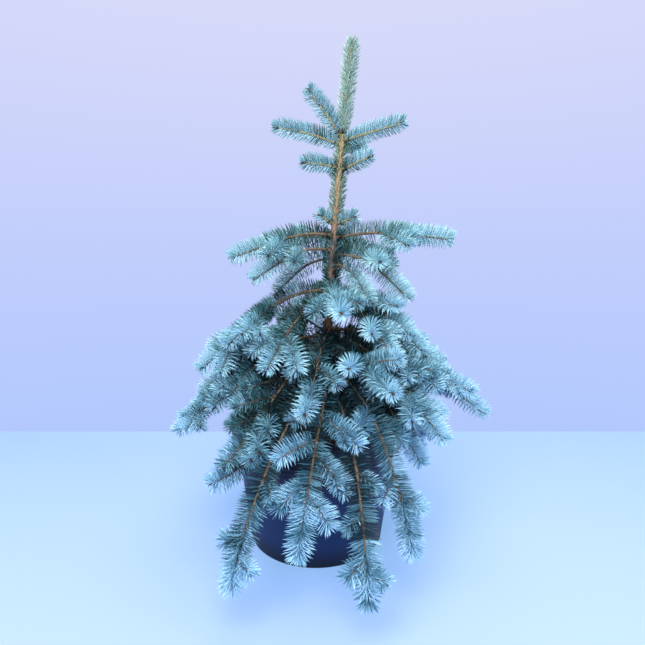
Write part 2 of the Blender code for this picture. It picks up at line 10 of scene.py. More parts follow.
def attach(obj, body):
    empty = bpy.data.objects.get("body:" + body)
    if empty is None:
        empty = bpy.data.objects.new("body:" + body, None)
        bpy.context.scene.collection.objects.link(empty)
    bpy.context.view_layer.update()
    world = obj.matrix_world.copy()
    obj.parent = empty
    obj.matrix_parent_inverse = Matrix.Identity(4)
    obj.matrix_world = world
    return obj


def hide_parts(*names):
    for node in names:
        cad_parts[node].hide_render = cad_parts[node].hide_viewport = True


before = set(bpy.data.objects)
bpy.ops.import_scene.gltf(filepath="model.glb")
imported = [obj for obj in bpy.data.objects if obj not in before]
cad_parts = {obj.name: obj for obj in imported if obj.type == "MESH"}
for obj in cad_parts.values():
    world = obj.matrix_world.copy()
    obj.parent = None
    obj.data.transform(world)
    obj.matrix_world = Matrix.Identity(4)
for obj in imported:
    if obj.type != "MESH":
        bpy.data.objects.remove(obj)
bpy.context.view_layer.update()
print("frame loaded:", len(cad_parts), "nodes")

# Potted blue spruce. Metres, +Z up, the pot's flat underside on the floor, -Y towards the camera.


# Camera, floor and light

camera = {"place": (0.010, -0.80, 0.472), "tilt": 81.9, "lens": 27.907, "sensor": 36}
floor = {
    "halfWidth": 1.7, "front": -1.7, "back": 0.47, "roughness": 0.6,
    "colour": (0.235, 0.245, 0.50), "glow": (0.135, 0.330, 0.52),
}
lights = {  # place, aim height, size, power, colour
    "key": ((-0.25, -1.30, 1.75), 0.30, 1.9, 74, (0.98, 0.98, 1.0)),
    "fill": ((1.30, -0.80, 0.90), 0.35, 1.4, 15, (0.86, 0.93, 1.0)),
    "side": ((-1.30, -0.70, 0.70), 0.20, 1.4, 5, (0.90, 0.95, 1.0)),
    "top": ((0.20, 0.35, 1.85), 0.30, 1.4, 18, (0.96, 0.97, 1.0)),
}
air = {  # the colours that the camera sees, by its ray's rise, and the soft light on the plant
    "seen": [(-0.34, (0.44, 0.58, 0.99)), (0.0, (0.53, 0.615, 0.975)), (0.40, (0.68, 0.70, 0.95))],
    "light": (0.84, 0.94, 1.0), "strength": 0.32,
}


def addObject(name, data):
    made = bpy.data.objects.new(name, data)
    bpy.context.scene.collection.objects.link(made)
    return made


def wire(tree, *pairs):  # each pair is an output and the input that it feeds
    for output, socket in pairs:
        tree.links.new(output, socket)


def setCamera():
    data = bpy.data.cameras.new("camera")
    data.lens, data.sensor_width = camera["lens"], camera["sensor"]
    made = addObject("camera", data)
    made.location = camera["place"]
    made.rotation_euler = (math.radians(camera["tilt"]), 0, 0)
    bpy.context.scene.camera = made


def setLights():
    for name, (place, aim, size, power, colour) in lights.items():
        data = bpy.data.lights.new(name, "AREA")
        data.shape, data.size, data.energy, data.color = "DISK", size, power, colour
        made = addObject(name, data)
        made.location = place
        made.rotation_euler = (Vector((0, 0, aim)) - Vector(place)).to_track_quat("-Z", "Y").to_euler()


def setAir():
    world = bpy.data.worlds.new("air")
    bpy.context.scene.world = world
    world.use_nodes = True
    nodes = world.node_tree.nodes
    soft = nodes["Background"]
    soft.inputs["Color"].default_value = (*air["light"], 1)
    soft.inputs["Strength"].default_value = air["strength"]
    seen, way, split, share, tone, ray, mix = (nodes.new("ShaderNode" + kind) for kind in (
        "Background", "TexCoord", "SeparateXYZ", "MapRange", "ValToRGB", "LightPath", "MixShader"))
    low, high = air["seen"][0][0], air["seen"][-1][0]
    share.inputs["From Min"].default_value, share.inputs["From Max"].default_value = low, high
    setStops(tone, [((rise - low) / (high - low), colour) for rise, colour in air["seen"]])
    wire(world.node_tree, (way.outputs["Generated"], split.inputs[0]),
         (split.outputs["Z"], share.inputs["Value"]),
         (share.outputs[0], tone.inputs[0]),
         (tone.outputs["Color"], seen.inputs["Color"]),
         (ray.outputs["Is Camera Ray"], mix.inputs[0]),
         (soft.outputs[0], mix.inputs[1]),
         (seen.outputs[0], mix.inputs[2]),
         (mix.outputs[0], nodes["World Output"].inputs["Surface"]))


# Materials: one node group for grain, used by the bark, the pot, the soil and the chips

grain = {"detail": 6, "roughness": 0.62, "sockets": {"Scale": 400.0, "Depth": 0.0005, "Strength": 0.4}}


def grainGroup():
    group = bpy.data.node_groups.new("surfaceGrain", "ShaderNodeTree")
    newSocket = group.interface.new_socket
    for name, value in grain["sockets"].items():
        newSocket(name, in_out="INPUT", socket_type="NodeSocketFloat").default_value = value
    newSocket("Stretch", in_out="INPUT", socket_type="NodeSocketVector").default_value = (1, 1, 1)
    newSocket("Mask", in_out="OUTPUT", socket_type="NodeSocketFloat")
    newSocket("Normal", in_out="OUTPUT", socket_type="NodeSocketVector")
    into, out = group.nodes.new("NodeGroupInput"), group.nodes.new("NodeGroupOutput")
    place, stretch, speckle, bump = (group.nodes.new("ShaderNode" + kind)
                                     for kind in ("TexCoord", "Mapping", "TexNoise", "Bump"))
    speckle.inputs["Detail"].default_value = grain["detail"]
    speckle.inputs["Roughness"].default_value = grain["roughness"]
    wire(group, (place.outputs["Object"], stretch.inputs["Vector"]),
         (into.outputs["Stretch"], stretch.inputs["Scale"]),
         (stretch.outputs[0], speckle.inputs["Vector"]),
         (into.outputs["Scale"], speckle.inputs["Scale"]),
         (speckle.outputs["Fac"], bump.inputs["Height"]),
         (into.outputs["Depth"], bump.inputs["Distance"]),
         (into.outputs["Strength"], bump.inputs["Strength"]),
         (speckle.outputs["Fac"], out.inputs["Mask"]),
         (bump.outputs[0], out.inputs["Normal"]))
    return group


surfaceGrain = grainGroup()


def newMaterial(name, colour, roughness, **sockets):
    made = bpy.data.materials.new(name)
    made.use_nodes = True
    shader = made.node_tree.nodes["Principled BSDF"]
    shader.inputs["Base Color"].default_value = (*colour, 1)
    shader.inputs["Roughness"].default_value = roughness
    for socket, value in sockets.items():
        shader.inputs[socket.replace("_", " ")].default_value = value
    return made


def feed(made, output, socket):
    wire(made.node_tree, (output, made.node_tree.nodes["Principled BSDF"].inputs[socket]))


def addGrain(made, scale, depth, strength, stretch=(1, 1, 1)):
    placed = made.node_tree.nodes.new("ShaderNodeGroup")
    placed.node_tree = surfaceGrain
    for socket, value in (("Scale", scale), ("Depth", depth), ("Strength", strength), ("Stretch", stretch)):
        placed.inputs[socket].default_value = value
    feed(made, placed.outputs["Normal"], "Normal")
    return placed.outputs["Mask"]


def setStops(ramp, stops):  # a stop is a place and a colour, or a place and a grey
    elements = ramp.color_ramp.elements
    while len(elements) < len(stops):
        elements.new(1)
    for element, (place, colour) in zip(elements, stops):
        element.position = place
        element.color = (*colour, 1) if hasattr(colour, "__len__") else (colour, colour, colour, 1)


def addRamp(made, value, stops, socket="Base Color"):
    ramp = made.node_tree.nodes.new("ShaderNodeValToRGB")
    wire(made.node_tree, (value, ramp.inputs["Fac"]))
    setStops(ramp, stops)
    if socket:
        feed(made, ramp.outputs["Color"], socket)
    return ramp.outputs["Color"]


def heightOf(made, low, high):  # 0 at the low level, 1 at the high one
    place, split, share = (made.node_tree.nodes.new("ShaderNode" + kind)
                           for kind in ("TexCoord", "SeparateXYZ", "MapRange"))
    share.inputs["From Min"].default_value, share.inputs["From Max"].default_value = low, high
    wire(made.node_tree, (place.outputs["Object"], split.inputs[0]),
         (split.outputs["Z"], share.inputs["Value"]))
    return share.outputs[0]


# Pieces

def toMesh(name, shape):  # the shape is a bmesh, or points and triangles
    mesh = bpy.data.meshes.new(name)
    if isinstance(shape, bmesh.types.BMesh):
        shape.to_mesh(mesh)
        shape.free()
        return mesh
    points, faces = shape
    mesh.vertices.add(len(points))
    mesh.vertices.foreach_set("co", points.ravel())
    mesh.loops.add(faces.size)
    mesh.loops.foreach_set("vertex_index", faces.ravel())
    mesh.polygons.add(len(faces))
    mesh.polygons.foreach_set("loop_start", np.arange(0, faces.size, 3))
    mesh.update(calc_edges=True)
    mesh.validate()
    return mesh


def addPiece(name, shape, made, nodes, smooth=True):
    mesh = toMesh(name, shape)
    piece = addObject(name, mesh)
    mesh.materials.append(made)
    mesh.polygons.foreach_set("use_smooth", [smooth] * len(mesh.polygons))
    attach(piece, "root")
    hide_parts(*nodes)
    print("made", name, len(mesh.polygons), "faces")


def asArrays(bm):  # a small shape's corners and triangles, to be stamped many times
    bmesh.ops.triangulate(bm, faces=bm.faces)
    bmesh.ops.recalc_face_normals(bm, faces=bm.faces)
    bm.verts.index_update()
    points = np.array([v.co for v in bm.verts])
    faces = np.array([[v.index for v in f.verts] for f in bm.faces])
    bm.free()
    return points, faces


def stamped(shape, roots, ways, leans, lengths, widths, curls):
    # each copy runs from its root along its way, with its width across, and curls towards its lean
    points, faces = shape
    across = np.cross(ways, leans)
    x, y, z = points.T
    run = z[None] * lengths[:, None]
    aside = x[None] * widths[:, None] + curls[:, None] * lengths[:, None] * np.maximum(z, 0)[None] ** 2
    breadth = y[None] * widths[:, None]
    placed = roots[:, None] + run[..., None] * ways[:, None] + aside[..., None] * leans[:, None] \
        + breadth[..., None] * across[:, None]
    order = faces[None] + (np.arange(len(roots)) * len(points))[:, None, None]
    return placed.reshape(-1, 3), order.reshape(-1, 3)


def joined(several):  # (points, faces) pairs as one
    points, faces, start = [], [], 0
    for somePoints, someFaces in several:
        points.append(somePoints)
        faces.append(someFaces + start)
        start += len(somePoints)
    return np.concatenate(points), np.concatenate(faces)


# Sizes of the pot and trunk that the crown grows round

pot = {
    "height": .205, "rimRadius": .140, "footRadius": .109, "wall": .0025,
    "lipDepth": .016, "lipOverhang": .005, "soilTop": .182,
}
trunk = {
    "top": .650, "footOffset": .012, "lean": .030, "curve": .066,
    "heights": (.182, .215, .330, .450, .600, .650), "radii": (.0150, .0100, .0072, .0056, .0046, .0040),
    "leaderTip": .781,
}
gap = .0003  # between a limb and what it stands on
weld = .00002  # points as near as this become one
tiny = 1e-6  # keeps a direction from coming out as nothing


def unit(v):
    return v / np.linalg.norm(v, axis=-1, keepdims=True)


def heading(azimuth, rise):
    a, r = math.radians(azimuth), math.radians(rise)
    return np.array([math.cos(a) * math.cos(r), math.sin(a) * math.cos(r), math.sin(r)])


def trunkAxis(z):  # how far to +X the trunk's middle is at a height
    above = z - pot["soilTop"]
    return trunk["footOffset"] + trunk["lean"] * above + trunk["curve"] * above * above


def trunkAt(z):
    return np.array([trunkAxis(z), 0, z])


def trunkRadius(z):
    return float(np.interp(z, trunk["heights"], trunk["radii"]))


def potBodyRadius(z):
    return pot["footRadius"] + (pot["rimRadius"] - pot["lipOverhang"] - pot["footRadius"]) * z / pot["height"]


def potRadius(z):
    return pot["rimRadius"] if z > pot["height"] - pot["lipDepth"] else potBodyRadius(z)


# Paths: bezier curves, and places along them

def bezier(corners, count):
    t = np.linspace(0, 1, count)[:, None]
    last = len(corners) - 1
    return sum(math.comb(last, k) * (1 - t) ** (last - k) * t ** k * c for k, c in enumerate(corners))


def pathLength(path):
    return np.linalg.norm(np.diff(path, axis=0), axis=1).sum()


def runningLengths(path):
    return np.concatenate(([0], np.cumsum(np.linalg.norm(np.diff(path, axis=0), axis=1))))


def rowsAlong(rows, lengths, wanted):  # rows that are known at the lengths, read at the wanted ones
    return np.stack([np.interp(wanted, lengths, rows[:, k]) for k in range(rows.shape[1])], axis=1)


def pointsAlong(path, wanted):
    return rowsAlong(path, runningLengths(path), wanted)


def resampled(path, step):
    length = pathLength(path)
    return pointsAlong(path, np.linspace(0, length, max(3, round(length / step)) + 1))


# The crown: every bough is one row of sizes, and its stem and side shoots grow from it by one seeded rule

# A row's angles are in degrees: the rise as its stem leaves the trunk, the droop as it ends, the sweep
# sideways. Its bare share has the bark of a bough, and side shoots stand in pairs between two shares.
def bough(height, azimuth, reach, tip, rise=5, droop=-35, sweep=0, bare=0, pairs=0,
          first=.4, last=.7, side=.07, taper=.55, wide=0, seed=1):
    return dict(height=height, azimuth=azimuth, reach=reach, tip=tip, rise=rise, droop=droop, sweep=sweep,
                bare=bare, pairs=pairs, first=first, last=last, side=side, taper=taper, wide=wide, seed=seed)


topShoots = {
    "top_left_rising": bough(.647, 192, .052, .710, rise=60, droop=52),
    "top_left": bough(.634, 184, .100, .658, rise=22, droop=8),
    "top_right": bough(.641, -6, .092, .664, rise=15, droop=14),
    "top_back": bough(.637, 62, .075, .642, rise=5, droop=5),
}
sleeveShoots = {
    "mid_left": bough(.600, 190, .055, .606, rise=10, droop=4),
    "mid_right": bough(.598, -10, .048, .615, rise=22, droop=18),
    "mid_back": bough(.590, 100, .045, .606, rise=20, droop=15),
    "bud_left": bough(.515, 200, .024, .527, rise=25, droop=25),
    "bud_right": bough(.514, -20, .031, .524, rise=20, droop=15),
}
boughs = {
    "upper_left": bough(.497, 194, .163, .462, 8, -15, bare=.28, pairs=1, first=.45, side=.064, seed=1),
    "upper_right": bough(.494, -10, .184, .490, 12, -4, bare=.22, pairs=2, first=.36, last=.53,
                         side=.062, seed=2),
    "upper_left_low": bough(.473, 207, .134, .430, 12, -28, bare=.2, pairs=1, side=.052, seed=3),
    "upper_left_inner": bough(.460, 160, .095, .405, -5, -45, seed=4),
    "upper_right_low": bough(.465, -25, .126, .400, 8, -42, bare=.2, pairs=1, first=.38, side=.055, seed=5),
    "upper_front": bough(.453, -54, .090, .398, -5, -55, seed=6),
    "upper_back": bough(.488, 76, .150, .474, 14, -12, pairs=1, first=.45, side=.06, seed=7),
    "upper_back_right": bough(.478, 32, .120, .452, 6, -20, pairs=1, first=.55, side=.04, seed=8),
    "upper_back_left": bough(.490, 140, .140, .480, 14, -12, pairs=1, first=.5, side=.055, seed=9),
    "middle_left": bough(.410, 193, .207, .291, 2, -35, bare=.2, pairs=3, first=.35, side=.09, seed=10),
    "middle_left_low": bough(.382, 170, .222, .232, -25, -35, bare=.15, pairs=3, first=.35,
                             side=.08, seed=11),
    "middle_front": bough(.414, -84, .130, .388, 0, -5, pairs=1, first=.5, side=.05, seed=12),
    "middle_front_right": bough(.395, -44, .137, .307, 0, -50, pairs=1, first=.55, side=.05, seed=13),
    "middle_right": bough(.405, -10, .165, .297, 0, -40, bare=.2, pairs=3, first=.3, side=.07, seed=14),
    "middle_back_right": bough(.398, 45, .185, .300, 5, -35, bare=.15, pairs=3, first=.3, side=.09, seed=15),
    "middle_back": bough(.405, 108, .195, .290, 5, -35, bare=.15, pairs=3, first=.3, side=.09, seed=16),
    "middle_front_left": bough(.392, 232, .150, .305, 0, -45, pairs=1, first=.6, side=.07, seed=17),
    "lower_right": bough(.348, -3, .258, .208, 0, -35, bare=.15, pairs=3, first=.3, side=.10, seed=18),
    "lower_right_front": bough(.338, -31, .200, .196, -5, -45, pairs=3, first=.3, side=.08, seed=19),
    "lower_front_right": bough(.330, -62, .185, .285, -5, -10, pairs=1, first=.5, side=.06, seed=20),
    "lower_front": bough(.342, 259, .173, .258, -10, -15, pairs=1, first=.45, side=.05, seed=21),
    "lower_front_left": bough(.326, 233, .229, .193, -14, -28, pairs=3, first=.38, side=.080, seed=22),
    "lower_left": bough(.336, 184, .246, .180, 0, -38, bare=.12, pairs=3, first=.3, side=.11, seed=23),
    "lower_back_right": bough(.330, 34, .230, .200, 0, -35, pairs=3, first=.3, side=.11, seed=24),
    "lower_back_left": bough(.325, 138, .235, .190, 0, -35, bare=.12, pairs=3, first=.3, side=.11, seed=25),
    "lower_back": bough(.344, 84, .225, .215, 5, -30, pairs=3, first=.3, side=.10, seed=26),
    "skirt_left": bough(.297, 230, .241, .170, 4, -8, sweep=-18, pairs=2, first=.5, side=.055, seed=27),
    "skirt_front_left": bough(.274, 243, .264, .056, 15, -75, sweep=-17, bare=.2, pairs=1, first=.875,
                              side=.036, wide=18, seed=28),
    "skirt_front": bough(.287, 261, .238, .096, 12, -68, sweep=-13, pairs=3, first=.45, last=.76,
                         side=.080, seed=29),
    "skirt_front_right": bough(.248, -79, .262, .052, 15, -78, sweep=-4, bare=.2, pairs=1, first=.885,
                               side=.034, wide=18, seed=30),
    "skirt_right_front": bough(.280, -60, .225, .075, 12, -75, sweep=4, pairs=2, first=.45, last=.72,
                               side=.07, seed=31),
    "skirt_right": bough(.296, -32, .170, .155, 0, -50, pairs=2, side=.055, seed=32),
    "skirt_back_right": bough(.278, 24, .190, .100, 12, -68, pairs=3, first=.38, side=.09, seed=33),
    "skirt_back": bough(.264, 70, .240, .085, 12, -70, pairs=3, first=.38, side=.09, seed=34),
    "skirt_back_left": bough(.277, 115, .240, .085, 12, -70, pairs=3, first=.38, side=.09, seed=35),
    "skirt_left_back": bough(.284, 142, .212, .095, 30, -68, pairs=2, first=.38, side=.06, seed=36),
}

growth = {
    "stemPull": .38, "trunkSpan": .01, "stagger": .025, "placeJitter": .02, "step": .008, "markStep": .004,
    "stemPoints": 25, "uprightPoints": 14, "leastPoints": 4,
    "opening": (46, 60), "roll": (-22, 30), "droop": (.05, .3), "bend": .25, "lengths": (.82, 1.12),
    "tries": ((0, 1), (28, 1), (-28, 1), (0, .7), (28, .7), (-28, .7), (0, .45)),
    "apart": .0135, "ownApart": .0090, "forkRoom": .0144, "offPot": .0062, "lowest": .016,
}
upright = [  # where needles stand on the leader and the trunk: name, kind, from which height, to which
    ("leader", "leader", trunk["top"] + gap, trunk["leaderTip"]),
    ("upper_trunk", "trunk", .508, .646),
    ("old_trunk", "oldTrunk", .405, .500),
]
crown = {"shoots": [], "points": np.zeros((0, 3)), "owners": np.zeros(0, int)}


def offTrunk(row):
    span = growth["trunkSpan"]
    along = unit(trunkAt(row["height"] + span) - trunkAt(row["height"] - span))
    out = heading(row["azimuth"] - row["sweep"], 0)
    return unit(out - along * out.dot(along))


def stemCorners(row):
    start = trunkAt(row["height"])
    end = start + heading(row["azimuth"], 0) * row["reach"]
    end[2] = row["tip"]
    pull = np.linalg.norm(end - start) * growth["stemPull"]
    out = heading(row["azimuth"] - row["sweep"], row["rise"])
    start = start + offTrunk(row) * (trunkRadius(row["height"]) + gap)
    return start, start + out * pull, end - heading(row["azimuth"] + row["sweep"], row["droop"]) * pull, end


def sideCorners(start, along, across, up, opening, roll, length, droop):
    a, r = math.radians(opening), math.radians(roll)
    out = unit(along * math.cos(a) + (across * math.cos(r) + up * math.sin(r)) * math.sin(a))
    bend = unit(out + along * growth["bend"] - np.array([0, 0, droop]))
    middle = start + out * length / 2
    return start, middle, middle + bend * length / 2


def sidePath(corners, length):
    return bezier(corners, max(growth["leastPoints"], int(length / growth["step"])))


def marksAlong(path):
    length = pathLength(path)
    return pointsAlong(path, np.linspace(0, length, max(2, int(length / growth["markStep"]))))


def addShoot(owner, name, corners, path, kind):
    marks = marksAlong(path)
    crown["shoots"].append({"owner": owner, "name": name, "corners": corners, "path": path, "kind": kind})
    crown["points"] = np.concatenate((crown["points"], marks))
    crown["owners"] = np.concatenate((crown["owners"], np.full(len(marks), owner)))


def addStem(owner, name, row, kind):
    corners = stemCorners(row)
    addShoot(owner, name, corners, bezier(corners, growth["stemPoints"]), kind)


def clearOfPotAndTrunk(marks, room):
    for x, y, z in marks:
        level = math.hypot(x, y)
        inPot = z < pot["height"] + room and level < potRadius(z) + room
        mouth = potBodyRadius(pot["soilTop"]) - pot["wall"] - pot["lipOverhang"]
        overSoil = z > pot["soilTop"] + room and level < mouth - room
        if inPot and not overSoil:
            return False
        if z < trunk["top"] + room and math.hypot(x - trunkAxis(z), y) < trunkRadius(z) + room:
            return False
    return True


def shootFits(owner, path, apart, ownApart):
    marks = marksAlong(path)
    away = marks[np.linalg.norm(marks - marks[0], axis=1) > growth["forkRoom"]]
    if not len(away) or away[:, 2].min() < growth["lowest"]:
        return False
    far = np.linalg.norm(away[:, None] - crown["points"][None], axis=2)
    own = crown["owners"] == owner
    if far[:, ~own].min() < apart or far[:, own].min() < ownApart:
        return False
    return clearOfPotAndTrunk(away, growth["offPot"])


def growSideShoots(owner, name, row):
    rng = random.Random(row["seed"])
    main = bezier(stemCorners(row), growth["stemPoints"])
    a = math.radians(row["azimuth"])
    across = np.array([-math.sin(a), math.cos(a), 0])
    for pair in range(row["pairs"]):
        for sign in (-1, 1):
            share = (row["last"] - row["first"]) * pair / max(row["pairs"] - 1, 1)
            share += growth["stagger"] * sign + rng.uniform(-growth["placeJitter"], growth["placeJitter"])
            place = (row["first"] + share) * (len(main) - 1)
            low = int(place)
            start = main[low] + (main[low + 1] - main[low]) * (place - low)
            along = unit(main[low + 1] - main[low])
            up = unit(np.cross(across, along))
            up = up if up[2] > 0 else -up
            length = row["side"] * (1 - row["taper"] * share / (1 - row["first"]))
            length *= rng.uniform(*growth["lengths"])
            opening, roll, droop = (rng.uniform(*growth[k]) for k in ("opening", "roll", "droop"))
            opening += row["wide"]
            for turn, part in growth["tries"]:
                size = length * part
                corners = sideCorners(start, along, across * sign, up, opening, roll + turn, size, droop)
                path = sidePath(corners, size)
                if shootFits(owner, path, growth["apart"], growth["ownApart"]):
                    addShoot(owner, name, corners, path, "side")
                    break


finer = {  # the twigs on long side shoots that end low in the crown and near its outside
    "apart": .0140, "ownApart": .0100, "longEnough": .066, "secondPairFrom": .095, "share": (.34, .48),
    "shortest": .022, "opening": (42, 56), "roll": (-20, 25), "droop": (.0, .2), "tries": (1, .75), "seed": 7,
    "onePair": (.55,), "twoPairs": (.40, .68), "sproutRoll": -10, "below": .36, "outside": .60,
    "heights": (.05, .20, .35, .42, .50), "reaches": (.26, .26, .21, .18, .17),
}
sprouts = {  # twigs that hang before the pot where they fit: place on the stem, 1 left or -1 right, length
    "skirt_front_right": [(.46, 1, .044), (.56, -1, .036), (.60, 1, .042), (.70, 1, .034)],
    "skirt_front_left": [(.50, -1, .038), (.62, -1, .036)],
    "skirt_front": [(.62, -1, .040)],
}


def growFinerTwigs(shoot, rng):
    length = pathLength(shoot["path"])
    tip = shoot["path"][-1]
    outside = finer["outside"] * np.interp(tip[2], finer["heights"], finer["reaches"])
    inside = np.hypot(*(tip - trunkAt(tip[2]))[:2]) < outside
    if length < finer["longEnough"] or inside or tip[2] > finer["below"]:
        return
    places = finer["twoPairs" if length > finer["secondPairFrom"] else "onePair"]
    wanted = [(place, sign, rng.uniform(*finer["roll"]), length * rng.uniform(*finer["share"]))
              for place in places for sign in (-1, 1)]
    for place, sign, roll, size in wanted:
        growTwig(shoot, place, sign, roll, size, rng)


def growTwig(shoot, place, sign, roll, size, rng):
    path = shoot["path"]
    length = pathLength(path)
    start, ahead = pointsAlong(path, [length * place, length * place + growth["markStep"]])
    along = unit(ahead - start)
    across = unit(np.cross(along, (0, 0, 1)) + tiny)
    up = np.cross(across, along)
    opening, droop = rng.uniform(*finer["opening"]), rng.uniform(*finer["droop"])
    for part in finer["tries"]:
        if size * part < finer["shortest"]:
            break
        corners = sideCorners(start, along, across * sign, up, opening, roll, size * part, droop)
        twig = sidePath(corners, size * part)
        if shootFits(shoot["owner"], twig, finer["apart"], finer["ownApart"]):
            addShoot(shoot["owner"], shoot["name"], corners, twig, "fine")
            break


def growCrown():
    rows = {**topShoots, **boughs}
    for owner, (name, row) in enumerate(rows.items()):
        addStem(owner, name, row, "stem" if name in boughs else "young")
    for owner, (name, row) in enumerate(rows.items()):
        growSideShoots(owner, name, row)
    for owner, (name, kind, low, high) in enumerate(upright, len(rows)):
        path = np.array([trunkAt(z) for z in np.linspace(low, high, growth["uprightPoints"])])
        addShoot(owner, name, None, path, kind)
    for name, row in sleeveShoots.items():
        addStem(len(rows) + 1, name, row, "young")
    rng = random.Random(finer["seed"])
    for shoot in list(crown["shoots"]):
        if shoot["kind"] == "side":
            growFinerTwigs(shoot, rng)
    for name, places in sprouts.items():
        stem = next(s for s in crown["shoots"] if (s["name"], s["kind"]) == (name, "stem"))
        for place, sign, size in places:
            growTwig(stem, place, sign, finer["sproutRoll"], size, rng)
    print("crown grown:", len(crown["shoots"]), "shoots,",
          round(sum(pathLength(s["path"]) for s in crown["shoots"]), 1), "m")


growCrown()


# Small shapes that are stamped many times

shapeLook = {
    "needle": [(0, .70), (.72, 1.0), (1.0, .04)],  # up the needle, a place and how thick it is there
    "pegTip": .02, "tipWeld": .06,  # the corners at a tip are this near each other and become a point
    "budSteps": (.94, 1.12), "budRings": 20, "budEnds": (.05, .95), "budSlims": .45,
}


def coneShape(tip):
    bm = bmesh.new()
    bmesh.ops.create_cone(bm, cap_ends=True, segments=3, radius1=.5, radius2=tip, depth=1,
                          matrix=Matrix.Translation((0, 0, .5)))
    return bm


def closedTip(bm):
    bmesh.ops.remove_doubles(bm, verts=bm.verts, dist=shapeLook["tipWeld"])
    return asArrays(bm)


def needleShape():  # three sided, thickest at its middle, running from 0 to 1 along Z
    bm = coneShape(.5)
    walls = [e for e in bm.edges if abs(e.verts[0].co.z - e.verts[1].co.z) > .5]
    bmesh.ops.subdivide_edges(bm, edges=walls, cuts=1)
    for v in bm.verts:
        z, size = shapeLook["needle"][round(v.co.z * 2)]
        v.co = Vector((v.co.x * size, v.co.y * size, z))
    return closedTip(bm)


def scaleShape():  # one old scale or a sleeping bud
    bm = bmesh.new()
    bmesh.ops.create_uvsphere(bm, u_segments=5, v_segments=3, radius=.5)
    for v in bm.verts:
        v.co.z += .5
    return asArrays(bm)


def budShape():  # an egg with its scales as steps
    bm = bmesh.new()
    bmesh.ops.create_uvsphere(bm, u_segments=7, v_segments=7, radius=.5)
    low, high = shapeLook["budEnds"]
    for v in bm.verts:
        z = v.co.z + .5
        size = shapeLook["budSteps"][round(z * shapeLook["budRings"]) % 2] if low < z < high else 1
        if z > .5:
            size *= 1 - shapeLook["budSlims"] * (z - .5) * 2
        v.co = Vector((v.co.x * size, v.co.y * size, z))
    return asArrays(bm)


shapes = {"needle": needleShape(), "peg": closedTip(coneShape(shapeLook["pegTip"])), "bud": budShape(),
          "scale": scaleShape()}
heaps = {"needles": {}, "pegs": {}, "buds": {}, "twigs": {}}
regions = {
    "leader": ["leader", "upper_trunk"],
    "top": [*topShoots, *sleeveShoots],
    "upper": ["old_trunk"], "middle": [], "lower": [], "skirt": [],
}
for name in boughs:
    regions[name.split("_")[0]].append(name)
regionOf = {name: region for region, names in regions.items() for name in names}
masses = {region: ["foliage_" + n for n in names if "foliage_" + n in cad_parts]
          for region, names in regions.items()}


def pile(heap, key, made):
    heaps[heap].setdefault(key, []).append(made)


# Needles

needles = {
    "lengthLow": .0215, "lengthTop": .0185, "finerUpwards": (.52, .60), "width": .00132, "widths": (.9, 1.1),
    "turn": 137.508, "turnJitter": .07, "angleJitter": 2.5, "trunkJitter": 7, "placeJitter": .5, "fewest": 6,
    "spray": .020, "shorten": .005, "bare": .002, "bareSide": .006, "skirtStems": 1.3, "sunk": .8,
    "pathPoints": 60, "tipSpan": .011, "tipExtra": 24, "tipSpread": .5, "rootCloses": .34, "tipCloses": .52,
    "curlLimit": .3, "leastBend": 1e-9, "atRoot": .70, "rootGain": .30, "rootSpan": .02,
    "sizes": (.90, 1.06), "trunkSizes": (.72, 1.08), "underFrom": -.3, "underShorter": .16, "tipShorter": .28,
    "older": .060, "parting": .70, "bareFront": .55, "bareYoung": .80, "shed": .55, "strays": .16,
    "thin": .35, "overRim": .001, "offWall": .0015, "overSoil": .002, "insideWall": .009, "offFloor": .0012,
    "roughness": .48, "specular": .35, "seed": 11,
}
clearing = {  # the crown is open here behind the trunk, between two whorls, with a sloping foot and head
    "left": -.030, "right": .052, "back": .145, "foot": .331, "footFall": .175,
    "head": .370, "headFall": .133, "shed": .90,
}


def habit(perMetre, length, width, root, tip, upwards=0, lift=0):
    # needles to the metre, their length if it is their own, their width, angles from the twig, how they rise
    return dict(perMetre=perMetre, length=length, width=width, root=root, tip=tip, upwards=upwards, lift=lift)


habits = {
    "leader": habit(3300, .0165, 1.25, 60, 46),
    "trunk": habit(3000, .0175, 1.25, 60, 42),
    "oldTrunk": habit(6800, .0200, 1.1, 66, 50),
    "young": habit(3600, None, 1.08, 74, 62, .36, .10),
    "stem": habit(3100, None, 1.04, 82, 74, .40, .05),
    "side": habit(3100, None, 1, 80, 70, .36, .05),
    "fine": habit(2600, .0185, 1, 78, 66, .30, .05),
}
tintNames = "deep", "teal", "blue", "frost"
needleTints = {  # by region, in the order of the names: the crown is greener towards its top; the deep tints, darkest in the lower regions, are old needles and painted shade of the crown's hollows
    "leader": [(.040, .075, .040), (.145, .235, .165), (.290, .420, .355), (.430, .580, .520)],
    "top": [(.022, .065, .055), (.085, .200, .200), (.190, .370, .410), (.320, .550, .610)],
    "upper": [(.015, .050, .046), (.055, .150, .155), (.150, .310, .340), (.310, .540, .590)],
    "middle": [(.007, .030, .028), (.048, .138, .152), (.155, .335, .390), (.335, .580, .680)],
    "lower": [(.005, .021, .024), (.044, .134, .160), (.145, .325, .405), (.330, .575, .700)],
    "skirt": [(.006, .026, .035), (.048, .145, .190), (.118, .280, .385), (.300, .540, .700)],
}
ageAndShade = {  # how pale a spray is at a share of its bough's reach, from 0, old, to 1: the inner sprays are darker as older needles and as painted shade of the crown's hollows, those above upperFrom paler as painted light
    "share": (.15, .40, .65, .90, 1.05), "paleness": (-.02, .12, .30, .58, .74), "tip": .40, "tipSpan": 1.25,
    "upper": .33, "upperFrom": .40, "leader": .78, "young": .68, "trunk": .46, "oldTrunk": .30, "spread": .09,
    "steps": (.33, .57, .86),
}
